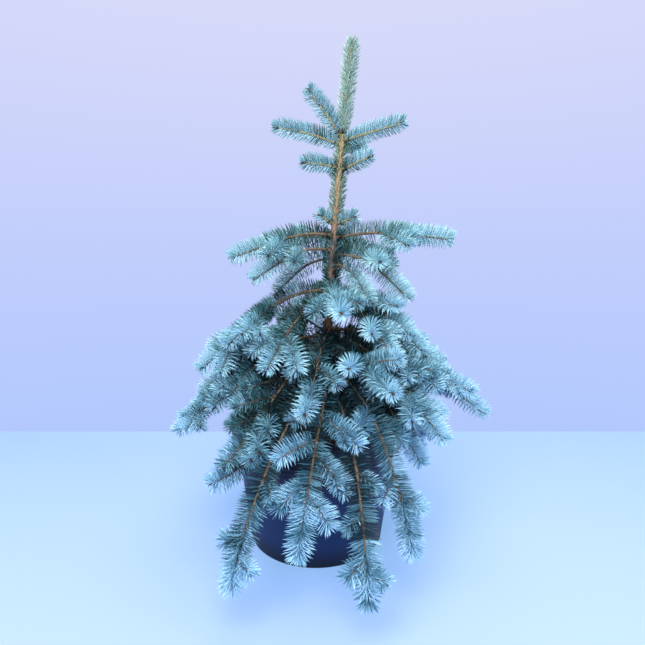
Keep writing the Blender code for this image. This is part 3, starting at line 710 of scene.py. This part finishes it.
paintedShadeAndLight = {  # painted shade and light by bough: positive values darken a bough's needles as painted shade, negative ones make them paler as painted light
    "lower_front_left": .20, "skirt_left": .12, "skirt_front_right": .17, "skirt_front_left": .13,
    "middle_left": -.16, "middle_left_low": -.16, "middle_front_left": -.12, "middle_front": -.08,
    "middle_front_right": -.10, "middle_right": -.44, "lower_front": -.10, "lower_right": -.20,
    "lower_front_right": -.08, "lower_right_front": -.12,
}


def frames(path):  # the shoot's heading and its upper side, carried along it without twist
    along = unit(np.gradient(path, axis=0))
    up = np.array([0, 0, 1.0]) if abs(along[0][2]) < .9 else np.array([1.0, 0, 0])
    ups = []
    for way in along:
        up = unit(up - way * up.dot(way))
        ups.append(up)
    return along, np.array(ups)


def insidePotOrTrunk(points):
    x, y, z = points.T
    level = np.hypot(x, y)
    wall = np.interp(z, (0, pot["height"]), (pot["footRadius"], pot["rimRadius"]))
    inPot = (z < pot["height"] + needles["overRim"]) & (level < wall + needles["offWall"])
    inPot &= ~((z > pot["soilTop"] + needles["overSoil"]) & (level < wall - needles["insideWall"]))
    inTrunk = np.hypot(x - trunkAxis(z), y) < np.interp(z, trunk["heights"], trunk["radii"])
    inTrunk &= z < trunk["top"]
    return inPot | inTrunk | (z < needles["offFloor"])


def inClearing(points):
    x, y, z = points.T
    between = z > clearing["foot"] - clearing["footFall"] * y
    between &= z < clearing["head"] - clearing["headFall"] * y
    return between & (x > clearing["left"]) & (x < clearing["right"]) & (y > 0) & (y < clearing["back"])


def onTrunk(shoot):
    return shoot["kind"] in ("trunk", "oldTrunk")


def needlePlaces(shoot, length, bare, rng):  # distances along the shoot, closer together at its tip
    more = needles["skirtStems"] if shoot["kind"] == "stem" and shoot["name"].startswith("skirt") else 1
    count = max(needles["fewest"], int((length - bare) * habits[shoot["kind"]]["perMetre"] * more))
    s = bare + (length - bare) * (np.arange(count) + rng.uniform(0, needles["placeJitter"], count)) / count
    if onTrunk(shoot):
        return s
    extra = rng.uniform(0, needles["tipSpread"], needles["tipExtra"])
    return np.concatenate((s, length - needles["tipSpan"] * extra))


def turnedFrom(first, second, angles):  # from the first direction towards the second
    return first * np.cos(angles)[:, None] + second * np.sin(angles)[:, None]


def needleWays(own, jitter, out, ahead, nearTip, rng):  # from the root, towards the bend, and its strength
    count = len(out)
    rootAngle = np.radians(own["root"] * (1 - needles["rootCloses"] * nearTip) + rng.normal(0, jitter, count))
    tipAngle = np.radians(own["tip"] * (1 - needles["tipCloses"] * nearTip) + rng.normal(0, jitter, count))
    way = unit(turnedFrom(ahead, out, rootAngle))
    tipWay = unit(turnedFrom(ahead, out, tipAngle) + np.array([0, 0, own["lift"]]))
    alike = (tipWay * way).sum(1)
    curl = np.tan(np.arccos(np.clip(alike, needles["curlLimit"], 1))) / 2
    return way, unit(tipWay - way * alike[:, None] + needles["leastBend"]), curl


def needleSizes(shoot, heights, fromBare, turn, nearTip, rng):
    own, count = habits[shoot["kind"]], len(heights)
    grown = np.interp(heights, needles["finerUpwards"], (needles["lengthLow"], needles["lengthTop"]))
    size = np.full(count, own["length"]) if own["length"] else grown
    size = size * (needles["atRoot"] + needles["rootGain"] * np.clip(fromBare / needles["rootSpan"], 0, 1))
    size = size * rng.uniform(*needles["sizes"], count)
    under = np.cos(turn) < needles["underFrom"]
    size *= (1 - needles["underShorter"] * under) * (1 - needles["tipShorter"] * nearTip)
    return size * rng.uniform(*needles["trunkSizes"], count) if onTrunk(shoot) else size


def needlesLeft(shoot, placesOn, out, turn, fromTip, rng):  # which needles are there and not shed
    keep = np.full(len(turn), True)
    shed = rng.uniform(0, 1, len(turn))
    if shoot["corners"]:
        for places in placesOn:
            keep &= ~(insidePotOrTrunk(places) | (inClearing(places) & (shed < clearing["shed"])))
    if shoot["kind"] == "stem":
        parted = np.cos(turn) if shoot["fine"][0][2] < ageAndShade["upperFrom"] else np.abs(np.sin(turn))
        keep &= ~((parted > needles["parting"]) & (fromTip > needles["older"]) & (shed < needles["shed"]))
    if onTrunk(shoot) or shoot["kind"] == "young":
        front = needles["bareFront" if onTrunk(shoot) else "bareYoung"]
        keep &= ~((-out[:, 1] > front) & (shed < needles["shed"]))
    return keep


def sprayTints(shoot, places, fromTip, rng):
    away = np.hypot(places[:, 0] - trunkAxis(places[:, 2]), places[:, 1])
    if shoot["name"] in boughs:
        share = away / boughs[shoot["name"]]["reach"]
        # darker towards the trunk: older needles, and painted shade of the crown's hollows
        paleness = np.interp(share, ageAndShade["share"], ageAndShade["paleness"])
        paleness += ageAndShade["tip"] * np.clip(ageAndShade["tipSpan"] - fromTip / needles["older"], 0, 1)
        # painted light above upperFrom; painted shade and light by bough
        paleness += ageAndShade["upper"] * (places[:, 2] > ageAndShade["upperFrom"]) - paintedShadeAndLight.get(shoot["name"], 0)
    else:
        paleness = np.full(len(places), ageAndShade[shoot["kind"]])
    paleness += rng.normal(0, ageAndShade["spread"], len(places))
    return np.digitize(paleness, ageAndShade["steps"])


def dealtTints(shoot, at, s, length, rng):  # a place in tintNames for each needle, dealt out by spray
    sprays = (s // needles["spray"]).astype(int)
    rows = np.unique(sprays)
    middles = np.stack([at[sprays == k].mean(0) for k in rows])
    tint = sprayTints(shoot, middles, length - (rows + .5) * needles["spray"], rng)
    tint = tint[np.searchsorted(rows, sprays)]
    strays = rng.uniform(0, 1, len(s))  # some needles in a spray are paler or duller than the rest
    paler, darker = strays < needles["strays"], strays > 1 - needles["strays"]
    return np.clip(tint + paler - darker, 0, len(tintNames) - 1)


def growNeedles(shoot, rng):
    fine, own, free = shoot["fine"], habits[shoot["kind"]], not onTrunk(shoot)
    length, lengths = pathLength(fine), runningLengths(fine)
    bare = needles["bareSide" if shoot["kind"] in ("side", "fine") else "bare"]
    s = needlePlaces(shoot, length, bare, rng)
    total = len(s)
    turn = np.radians(needles["turn"]) * np.arange(total) + rng.normal(0, needles["turnJitter"], total)
    turn = (turn + math.pi) % (2 * math.pi) - math.pi
    turn -= own["upwards"] * np.sin(turn)
    at = rowsAlong(fine, lengths, s)
    ahead, up = (unit(rowsAlong(rows, lengths, s)) for rows in frames(fine))
    thick = np.interp(s, lengths, shoot["radii"])
    side = np.cross(ahead, up)
    out = turnedFrom(up, side, turn)
    nearTip = np.clip(1 - (length - s) / needles["tipSpan"], 0, 1) * free
    jitter = needles["angleJitter" if free else "trunkJitter"]
    way, bend, curl = needleWays(own, jitter, out, ahead, nearTip, rng)
    size = needleSizes(shoot, at[:, 2], s - bare, turn, nearTip, rng)
    root = at + out * thick[:, None] * needles["sunk"]
    placesOn = [root + way * size[:, None] * part + bend * (curl * size)[:, None] * part ** 2
                for part in (.5, 1)]
    keep = needlesLeft(shoot, placesOn, out, turn, length - s, rng)
    width = needles["width"] * own["width"] * rng.uniform(*needles["widths"], total)
    tint = dealtTints(shoot, at, s, length, rng)
    region = regionOf[shoot["name"]]
    if region == "upper" and free:  # the sky shows between the older needles of the upper boughs
        keep &= (tint > 1) | (rng.uniform(0, 1, total) > needles["thin"])
    for k, tintName in enumerate(tintNames):
        dealt = keep & (tint == k)
        if dealt.any():
            columns = (column[dealt] for column in (root, way, bend, size, width, curl))
            pile("needles", (region, tintName), stamped(shapes["needle"], *columns))
    if free:
        pegged = keep & (np.arange(total) % twigLook["pegEvery"] == 0)
        growPegs(region, *(column[pegged] for column in (at, thick, out, ahead, side)))
    return keep.sum()


# Twigs with their pegs and buds

twigLook = {
    "stemTip": .0015, "sideRoot": .0019, "sideTip": .0012, "finerRoot": .0013, "finerTip": .0010,
    "stemTaper": 1.3, "youngRoot": .0024, "leaderShare": .75, "leaderLeast": .0014,
    "limbRoot": .0022, "limbByReach": .0042, "step": .0045, "sides": 6,
    "pegLength": .0017, "pegWidth": .0011, "pegEvery": 5, "pegSunk": .7, "pegLeans": 1.2,
    "colour": (.128, .088, .050), "roughness": .75, "young": (.270, .225, .095), "youngRoughness": .7,
}
budLook = {
    "tip": {"leader": .0085, "young": .0075, "stem": .0075, "side": .0062, "fine": .0046}, "slim": .62,
    "tipSunk": .25, "sideOut": (.7, 1.0), "sideUp": (-.3, .4), "sideBack": (.35, .6), "sideApart": .0006,
    "sideSize": (.6, .75), "lateral": .0036, "every": .026, "offTip": .012, "jitter": (.92, 1.08), "sunk": .7,
    "scale": {"leader": 2.2, "young": 1.2, "stem": 1.5, "side": .8, "fine": .8}, "scaleSize": .0036,
    "scales": 8, "scaleJitter": (.8, 1.2), "scaleSunk": .75, "scaleLeans": 1.4, "skew": .01,
    "colour": (.066, .032, .020), "roughness": .6,
}


def limbRadius(row):
    return twigLook["limbRoot"] + twigLook["limbByReach"] * row["reach"]


def twigRadii(shoot, shares):
    if shoot["corners"] is None:
        least = twigLook["leaderLeast"]
        return np.array([max(trunkRadius(z) * twigLook["leaderShare"], least) for z in shoot["fine"][:, 2]])
    if shoot["kind"] in ("stem", "young"):
        row = {**topShoots, **sleeveShoots, **boughs}[shoot["name"]]
        root = limbRadius(row) if row["bare"] else min(limbRadius(row), twigLook["youngRoot"])
        return twigLook["stemTip"] + (root - twigLook["stemTip"]) * (1 - shares) ** twigLook["stemTaper"]
    root, tip = ("sideRoot", "sideTip") if shoot["kind"] == "side" else ("finerRoot", "finerTip")
    return twigLook[root] + (twigLook[tip] - twigLook[root]) * shares


def growPegs(region, at, thick, out, ahead, side):  # the woody pegs that needles stand on
    ways = unit(out + ahead * twigLook["pegLeans"])
    leans = unit(np.cross(ways, side + tiny))
    roots = at + out * (thick * twigLook["pegSunk"])[:, None]
    every = np.ones(len(at))
    pile("pegs", region, stamped(shapes["peg"], roots, ways, leans, every * twigLook["pegLength"],
                                 every * twigLook["pegWidth"], every * 0))


def growBuds(shoot, rng):
    fine, radii, kind, look = shoot["fine"], shoot["radii"], shoot["kind"], budLook
    along, ups = frames(fine)
    side = np.cross(along, ups)
    size = look["tip"][kind]
    buds = [(fine[-1] - along[-1] * size * look["tipSunk"], along[-1], size)]
    if kind != "fine":
        for sign in (-1, 1):
            way = along[-1] + side[-1] * sign * rng.uniform(*look["sideOut"])
            way = way + ups[-1] * rng.uniform(*look["sideUp"])
            place = fine[-1] - along[-1] * size * rng.uniform(*look["sideBack"])
            place = place + side[-1] * sign * look["sideApart"]
            buds.append((place, way, size * rng.uniform(*look["sideSize"])))
    tipBuds = len(buds)
    lengths = runningLengths(fine)
    for s in np.arange(look["every"], lengths[-1] - look["offTip"], look["every"]):
        k = min(int(np.searchsorted(lengths, s * rng.uniform(*look["jitter"]))), len(fine) - 1)
        a = rng.uniform(0, 2 * math.pi)
        out = ups[k] * math.cos(a) + side[k] * math.sin(a)
        buds.append((fine[k] + out * radii[k] * look["sunk"], out + along[k], look["lateral"]))
    first = 1 if kind in ("stem", "young") else 0
    scale = look["scaleSize"] * look["scale"][kind]
    for a in np.linspace(0, 2 * math.pi, look["scales"], endpoint=False) + rng.uniform(0, 1):
        out = ups[first] * math.cos(a) + side[first] * math.sin(a)
        place = fine[first] + out * radii[first] * look["scaleSunk"]
        way = out + along[first] * look["scaleLeans"]
        buds.append((place, way, scale * rng.uniform(*look["scaleJitter"])))
    roots, ways, sizes = (np.array(column) for column in zip(*buds))
    ways = unit(ways)
    leans = unit(np.cross(ways, ways[:, [1, 2, 0]] + look["skew"]))
    for shape, own in (("bud", slice(tipBuds)), ("scale", slice(tipBuds, None))):
        pile("buds", regionOf[shoot["name"]],
             stamped(shapes[shape], roots[own], ways[own], leans[own], sizes[own], sizes[own] * look["slim"],
                     sizes[own] * 0))


def tubes(name, rows, sides):  # tapering tubes along paths, as one welded bmesh
    data = bpy.data.curves.new(name, "CURVE")
    data.dimensions = "3D"
    data.bevel_depth, data.bevel_resolution, data.use_fill_caps = 1, (sides - 4) // 2, True
    data.resolution_u = 1
    for path, radii in rows:
        line = data.splines.new("POLY")
        line.points.add(len(path) - 1)
        line.points.foreach_set("co", np.hstack((path, np.ones((len(path), 1)))).ravel())
        line.points.foreach_set("radius", radii)
    made = addObject(name, data)
    bpy.context.view_layer.update()
    mesh = bpy.data.meshes.new_from_object(made.evaluated_get(bpy.context.evaluated_depsgraph_get()))
    bpy.data.objects.remove(made)
    bm = bmesh.new()
    bm.from_mesh(mesh)
    bmesh.ops.remove_doubles(bm, verts=bm.verts, dist=weld)
    bmesh.ops.recalc_face_normals(bm, faces=bm.faces)
    return bm


def growFoliage():
    rng = np.random.default_rng(needles["seed"])
    total = 0
    for shoot in crown["shoots"]:
        path = shoot["path"] if shoot["corners"] is None else bezier(shoot["corners"], needles["pathPoints"])
        if shoot["name"] in boughs:
            path = pointsAlong(path, np.linspace(0, pathLength(path) - needles["shorten"], len(path)))
        shoot["fine"] = resampled(path, twigLook["step"])
        shoot["radii"] = twigRadii(shoot, np.linspace(0, 1, len(shoot["fine"])))
        total += growNeedles(shoot, rng)
        if not onTrunk(shoot):
            pile("twigs", regionOf[shoot["name"]], (shoot["fine"], shoot["radii"]))
            growBuds(shoot, rng)
    print("needles grown:", total)


def addFoliage():
    looks = {(region, tint): newMaterial(f"needles_{region}_{tint}", colour, needles["roughness"],
                                         Specular_IOR_Level=needles["specular"])
             for region, tints in needleTints.items() for tint, colour in zip(tintNames, tints)}
    twigs = newMaterial("twigs", twigLook["colour"], twigLook["roughness"])
    youngTwigs = newMaterial("young_twigs", twigLook["young"], twigLook["youngRoughness"])
    budSkin = newMaterial("bud_scales", budLook["colour"], budLook["roughness"])
    for (region, tint), parts in heaps["needles"].items():
        addPiece(f"needles_{region}_{tint}", joined(parts), looks[region, tint], masses[region],
                 smooth=False)
    for region in regions:
        skin = youngTwigs if region in ("leader", "top") else twigs
        stems = tubes("twigs_" + region, heaps["twigs"][region], twigLook["sides"])
        addPiece("twigs_" + region, stems, skin, masses[region])
        for kind, look in (("pegs", skin), ("buds", budSkin)):
            addPiece(f"{kind}_{region}", joined(heaps[kind][region]), look, masses[region])


# Trunk and boughs: tubes with the bark's relief

bark = {
    "sides": 36, "step": .0012, "limbSides": 14, "limbStep": .0020, "roughness": .85,
    "colour": (.2, .12, .08),
    "grain": (700, .0006, .5, (1, 1, .35)), "spots": [(.30, .30), (.62, 1.15)], "spotShare": .85,
    "trunk": [(0, (.090, .048, .030)), (.35, (.125, .066, .042)), (.64, (.205, .130, .095)),
              (.72, (.270, .175, .100)), (1, (.400, .290, .130))],  # tones by the share of the trunk's height
    "bough": [(0, (.100, .064, .040)), (.40, (.120, .078, .046)), (.60, (.215, .150, .085)),
              (1, (.300, .215, .095))],
}
barkRelief = {  # flaky ridges that run along the wood, with small cracks across
    "trunk": .00045, "trunkFinest": 420, "atFoot": 1.3, "thinner": 1.6, "limb": .00022, "limbFinest": 800,
    "stretch": .28, "roughness": .9, "lacunarity": 2.1, "octaves": 4, "ridges": .8,
    "crackWide": .5, "crackLong": 2.2, "crackWidth": .16, "crackDepth": 3,
}
trunkLook = {  # lobes at the foot, a collar at each bough, and the pegs of old needles higher up
    "lobes": 3, "lobeDepth": .10, "lobeHeight": .012, "collar": .000385, "collarSpan": .0035,
    "pegsRound": 8, "pegsUp": 900, "pegsTwist": 520, "pegsLean": 3, "peg": .00028,
    "pegsFrom": .36, "pegsFade": .1, "plainFoot": .0005, "plainTop": .0015,
}
limbLook = {  # a bare bough, from its collar on the trunk into the foot of its foliage
    "slim": .84, "taper": .10, "collar": .0012, "collarSpan": .004, "into": .002, "rooted": .0015,
}


def barkMaterial(wood):
    made = newMaterial(wood + "_bark", bark["colour"], bark["roughness"])
    mask = addGrain(made, *bark["grain"])
    tone = addRamp(made, heightOf(made, pot["soilTop"], trunk["top"]), bark[wood], socket=None)
    spots = addRamp(made, mask, bark["spots"], socket=None)
    mixed = made.node_tree.nodes.new("ShaderNodeMix")
    mixed.data_type, mixed.blend_type = "RGBA", "MULTIPLY"
    mixed.inputs[0].default_value = bark["spotShare"]
    wire(made.node_tree, (tone, mixed.inputs[6]), (spots, mixed.inputs[7]))
    feed(made, mixed.outputs[2], "Base Color")
    return made


def relief(point, depth, finest):
    x, y, z = point
    look = barkRelief
    ridges = noise.fractal(Vector((x * finest, y * finest, z * finest * look["stretch"])), look["roughness"],
                           look["lacunarity"], look["octaves"])
    wide = finest * look["crackWide"]
    cracks = abs(noise.noise(Vector((x * wide, y * wide, z * finest * look["crackLong"]))))
    return depth * (ridges * look["ridges"] - max(0, look["crackWidth"] - cracks) * look["crackDepth"])


def addTrunk(made):
    look = trunkLook
    heights = np.arange(pot["soilTop"] + gap, trunk["top"], bark["step"])
    path = np.array([trunkAt(z) for z in heights])
    radii = np.array([trunkRadius(z) for z in heights])
    for row in boughs.values():
        radii += look["collar"] * np.exp(-((heights - row["height"]) / look["collarSpan"]) ** 2)
    bm = tubes("trunk_bark", [(path, radii)], bark["sides"])
    bm.normal_update()
    for v in bm.verts:
        z = v.co.z
        a = math.atan2(v.co.y, v.co.x - trunkAxis(z))
        rise = z - pot["soilTop"]
        lobes = math.exp(-rise / look["lobeHeight"]) * math.cos(look["lobes"] * a + math.pi)
        pegs = math.cos(a * look["pegsRound"] + z * look["pegsUp"])
        pegs *= math.cos(z * look["pegsTwist"] - a * look["pegsLean"])
        fade = min(1, max(0, (z - look["pegsFrom"]) / look["pegsFade"]))
        depth = barkRelief["trunk"] * (barkRelief["atFoot"] - rise * barkRelief["thinner"])
        push = look["lobeDepth"] * lobes * trunkRadius(z) + max(0, pegs) * look["peg"] * fade
        if heights[0] + look["plainFoot"] < z < heights[-1] - look["plainTop"]:
            v.co += v.normal * (push + relief(v.co, depth, barkRelief["trunkFinest"]))
    addPiece("trunk_bark", bm, made, ["trunk"])


def addBoughs(made):
    look = limbLook
    bareRows = {name: row for name, row in boughs.items() if row["bare"]}
    tubeRows = []
    for row in bareRows.values():
        path = bezier(stemCorners(row), needles["pathPoints"])
        length = row["bare"] * pathLength(bezier(stemCorners(row), growth["stemPoints"]))
        shares = np.linspace(0, 1, round(length / bark["limbStep"]))
        path = pointsAlong(path, np.linspace(0, length + look["into"], len(shares)))
        path[0] -= offTrunk(row) * look["rooted"]
        radii = limbRadius(row) * (look["slim"] - look["taper"] * shares)
        radii += look["collar"] * np.exp(-(shares * length / look["collarSpan"]) ** 2)
        tubeRows.append((path, radii))
    bm = tubes("bough_bark", tubeRows, bark["limbSides"])
    bm.normal_update()
    for v in bm.verts:
        v.co += v.normal * relief(v.co, barkRelief["limb"], barkRelief["limbFinest"])
    addPiece("bough_bark", bm, made, ["bough_" + name for name in bareRows])


# Pot: a turned wall with a rolled lip

potLook = {
    "steps": 128, "wall": .0016, "edge": .0016, "corner": .003,
    "levels": (.05, .10, .15), "sideLevels": (.10, .05), "floor": .0045, "floorAt": .004,
    "footRing": .010, "footDepth": .0025, "footBevel": .001,
    "lipBevel": (.0006, .001), "lipIn": .0022, "underLip": .0012,
    "ribs": (.164, .157, .150), "ribDepth": .0006, "ribFlat": .0006, "ribHalf": .0016,
    # black plastic; its navy tint, also in the tones, is painted reflection of the blue surroundings
    "colour": (.0022, .0170, .076), "roughness": .50, "specular": .28,
    "grain": (900, .00012, .35), "sheen": [(.25, .44), (.75, .62)],
    "tones": [(0, (.0004, .0012, .008)), (.08, (.0012, .0060, .034)), (.18, (.0022, .0170, .076)),
              (.50, (.0022, .0170, .076)), (.80, (.0006, .0030, .018))],  # by the share of its height: painted shade, dark at the foot and darker again near the rim under the crown
}


def arc(x, z, radius, start, end, count=6):  # points round a corner's centre, angles in degrees
    angles = np.radians(np.linspace(start, end, count))
    return [(x + radius * math.cos(a), z + radius * math.sin(a)) for a in angles]


def turned(profile, steps):
    bm = bmesh.new()
    verts = [bm.verts.new((r, 0, z)) for r, z in profile]
    edges = [bm.edges.new(pair) for pair in zip(verts, verts[1:])]
    bmesh.ops.spin(bm, geom=verts + edges, cent=(0, 0, 0), axis=(0, 0, 1), angle=2 * math.pi, steps=steps,
                   use_merge=True)
    bmesh.ops.remove_doubles(bm, verts=bm.verts, dist=weld)
    bmesh.ops.recalc_face_normals(bm, faces=bm.faces)
    return bm


def insideProfile(under):  # from the middle of the floor inside up to the lip
    look, corner = potLook, potLook["corner"]
    x = potBodyRadius(look["floorAt"]) - look["wall"] - corner
    points = [(0, look["floor"]), (x, look["floor"])] + arc(x, look["floor"] + corner, corner, -90, 0)
    return points + [(potBodyRadius(z) - look["wall"], z) for z in (*look["levels"], under)]


def lipProfile(under):  # over the rim and back under the lip
    look, lip, high, edge = potLook, pot["rimRadius"], pot["height"], potLook["edge"]
    across, up = look["lipBevel"]
    mouth = lip - pot["lipOverhang"] - look["wall"]
    points = arc(mouth + edge, high - edge, edge, 180, 90) + arc(lip - edge, high - edge, edge, 90, 0)
    points += [(lip, under + up), (lip - across, under), (lip - look["lipIn"], under)]
    fillet = look["underLip"]
    return points + arc(potBodyRadius(under) + fillet, under - fillet, fillet, 90, 180, 4)


def sideProfile():  # down the ribs and the wall, round the foot and in under the floor
    look, corner, points = potLook, potLook["corner"], []
    half, flat = look["ribHalf"], look["ribFlat"]
    for z in look["ribs"]:
        crest = potBodyRadius(z) + look["ribDepth"]
        points += [(potBodyRadius(z + half), z + half), (crest, z + flat), (crest, z - flat)]
        points.append((potBodyRadius(z - half), z - half))
    points += [(potBodyRadius(z), z) for z in look["sideLevels"]]
    points += arc(pot["footRadius"] - corner, corner, corner, 0, -90)
    ring = pot["footRadius"] - corner - look["footRing"]
    return points + [(ring, 0), (ring - look["footBevel"], look["footDepth"]), (0, look["footDepth"])]


def addPot():
    look = potLook
    under = pot["height"] - pot["lipDepth"]
    bm = turned(insideProfile(under) + lipProfile(under) + sideProfile(), look["steps"])
    made = newMaterial("pot_plastic", look["colour"], look["roughness"], Specular_IOR_Level=look["specular"])
    addRamp(made, addGrain(made, *look["grain"]), look["sheen"], socket="Roughness")
    # painted shade by height: the wall darkens at its foot and near its rim
    addRamp(made, heightOf(made, 0, pot["height"]), look["tones"])
    addPiece("pot_wall", bm, made, ["pot"])


# Soil: a rough top with bark chips

soilLook = {
    "rings": 22, "steps": 96, "dish": .003, "gap": .0012, "low": .012, "lowGap": .003, "topBand": .001,
    "rough": .0022, "sunk": .0022, "lumps": (90, .8, 2.1, 4),
    "roughness": .95, "grain": (520, .0012, .9), "colour": (.03, .02, .014),
    "tones": [(.3, (.010, .007, .005)), (.55, (.034, .022, .014)), (.75, (.075, .048, .028))],
}
chipLook = {
    "count": 620, "sizes": (.004, .013), "thick": .32, "leastThick": .001, "from": .012, "out": .97,
    "sunk": .0035, "tilt": .5, "bevel": .16, "warp": (1.7, .12), "seed": 5,
    "roughness": .9, "grain": (260, .0006, .6), "colour": (.085, .045, .025),
    "tones": [(.3, (.035, .018, .010)), (.7, (.130, .074, .042))],
}


def grainyMaterial(name, look):
    made = newMaterial(name, look["colour"], look["roughness"])
    addRamp(made, addGrain(made, *look["grain"]), look["tones"])
    return made


def soilWall(z):
    return potBodyRadius(z) - potLook["wall"]


def soilDish(reach, wall):  # how far the soil's top falls, at a reach from the middle
    return soilLook["dish"] * (reach / wall) ** 2


def addSoil():
    look, top = soilLook, pot["soilTop"]
    edge, low = top - look["dish"], look["low"]
    wall = soilWall(edge) - look["gap"]
    profile = [(r, top - soilDish(r, wall)) for r in np.linspace(0, wall, look["rings"])]
    bm = turned(profile + [(soilWall(low) - look["lowGap"], low), (0, low)], look["steps"])
    finest, *fractal = look["lumps"]
    for v in bm.verts:
        if v.co.z > edge - look["topBand"]:
            v.co.z += noise.fractal(v.co * finest, *fractal) * look["rough"] - look["sunk"]
    addPiece("soil_top", bm, grainyMaterial("soil_mix", look), ["soil"])
    addChips(top, wall)


def chipShape():
    bm = bmesh.new()
    bmesh.ops.create_cube(bm, size=1)
    bmesh.ops.bevel(bm, geom=bm.edges[:], offset=chipLook["bevel"], offset_type="OFFSET", segments=1,
                    profile=.5, affect="EDGES", material=-1)
    noise.seed_set(chipLook["seed"])  # without it the warp differs from run to run
    finest, depth = chipLook["warp"]
    for v in bm.verts:
        v.co += noise.noise_vector(v.co * finest) * depth
        v.co.z += .5
    return asArrays(bm)


def addChips(top, wall):
    look, count = chipLook, chipLook["count"]
    rng = np.random.default_rng(look["seed"])
    reach = wall * look["out"] * np.sqrt(rng.uniform(look["from"], 1, count))
    a = rng.uniform(0, 2 * math.pi, count)
    levels = top - look["sunk"] - soilDish(reach, wall)
    roots = np.stack((reach * np.cos(a), reach * np.sin(a), levels), axis=1)
    tilts = rng.normal(0, look["tilt"], count), rng.normal(0, look["tilt"], count)
    ways = unit(np.stack((*tilts, np.ones(count)), axis=1))
    leans = unit(np.cross(ways, rng.normal(0, 1, (count, 3))))
    size = rng.uniform(*look["sizes"], count)
    thick = size * look["thick"] + look["leastThick"]
    shape = stamped(chipShape(), roots, ways, leans, thick, size, size * 0)
    addPiece("soil_chips", shape, grainyMaterial("bark_chips", look), ["soil"], smooth=False)


def addFloor():
    bm = bmesh.new()
    bmesh.ops.create_grid(bm, x_segments=2, y_segments=2, size=1)
    wide, front, back = floor["halfWidth"], floor["front"], floor["back"]
    for v in bm.verts:
        v.co = Vector((v.co.x * wide, front + (v.co.y + 1) / 2 * (back - front), 0))
    made = addObject("floor", toMesh("floor", bm))
    made.data.materials.append(newMaterial("floor", floor["colour"], floor["roughness"],
                                           Emission_Color=(*floor["glow"], 1), Emission_Strength=1))


bpy.context.scene.view_settings.view_transform = "Standard"
setCamera()
setLights()
setAir()
addFloor()
print("camera, lights and floor set")
growFoliage()
addFoliage()
addTrunk(barkMaterial("trunk"))
addBoughs(barkMaterial("bough"))
addPot()
addSoil()
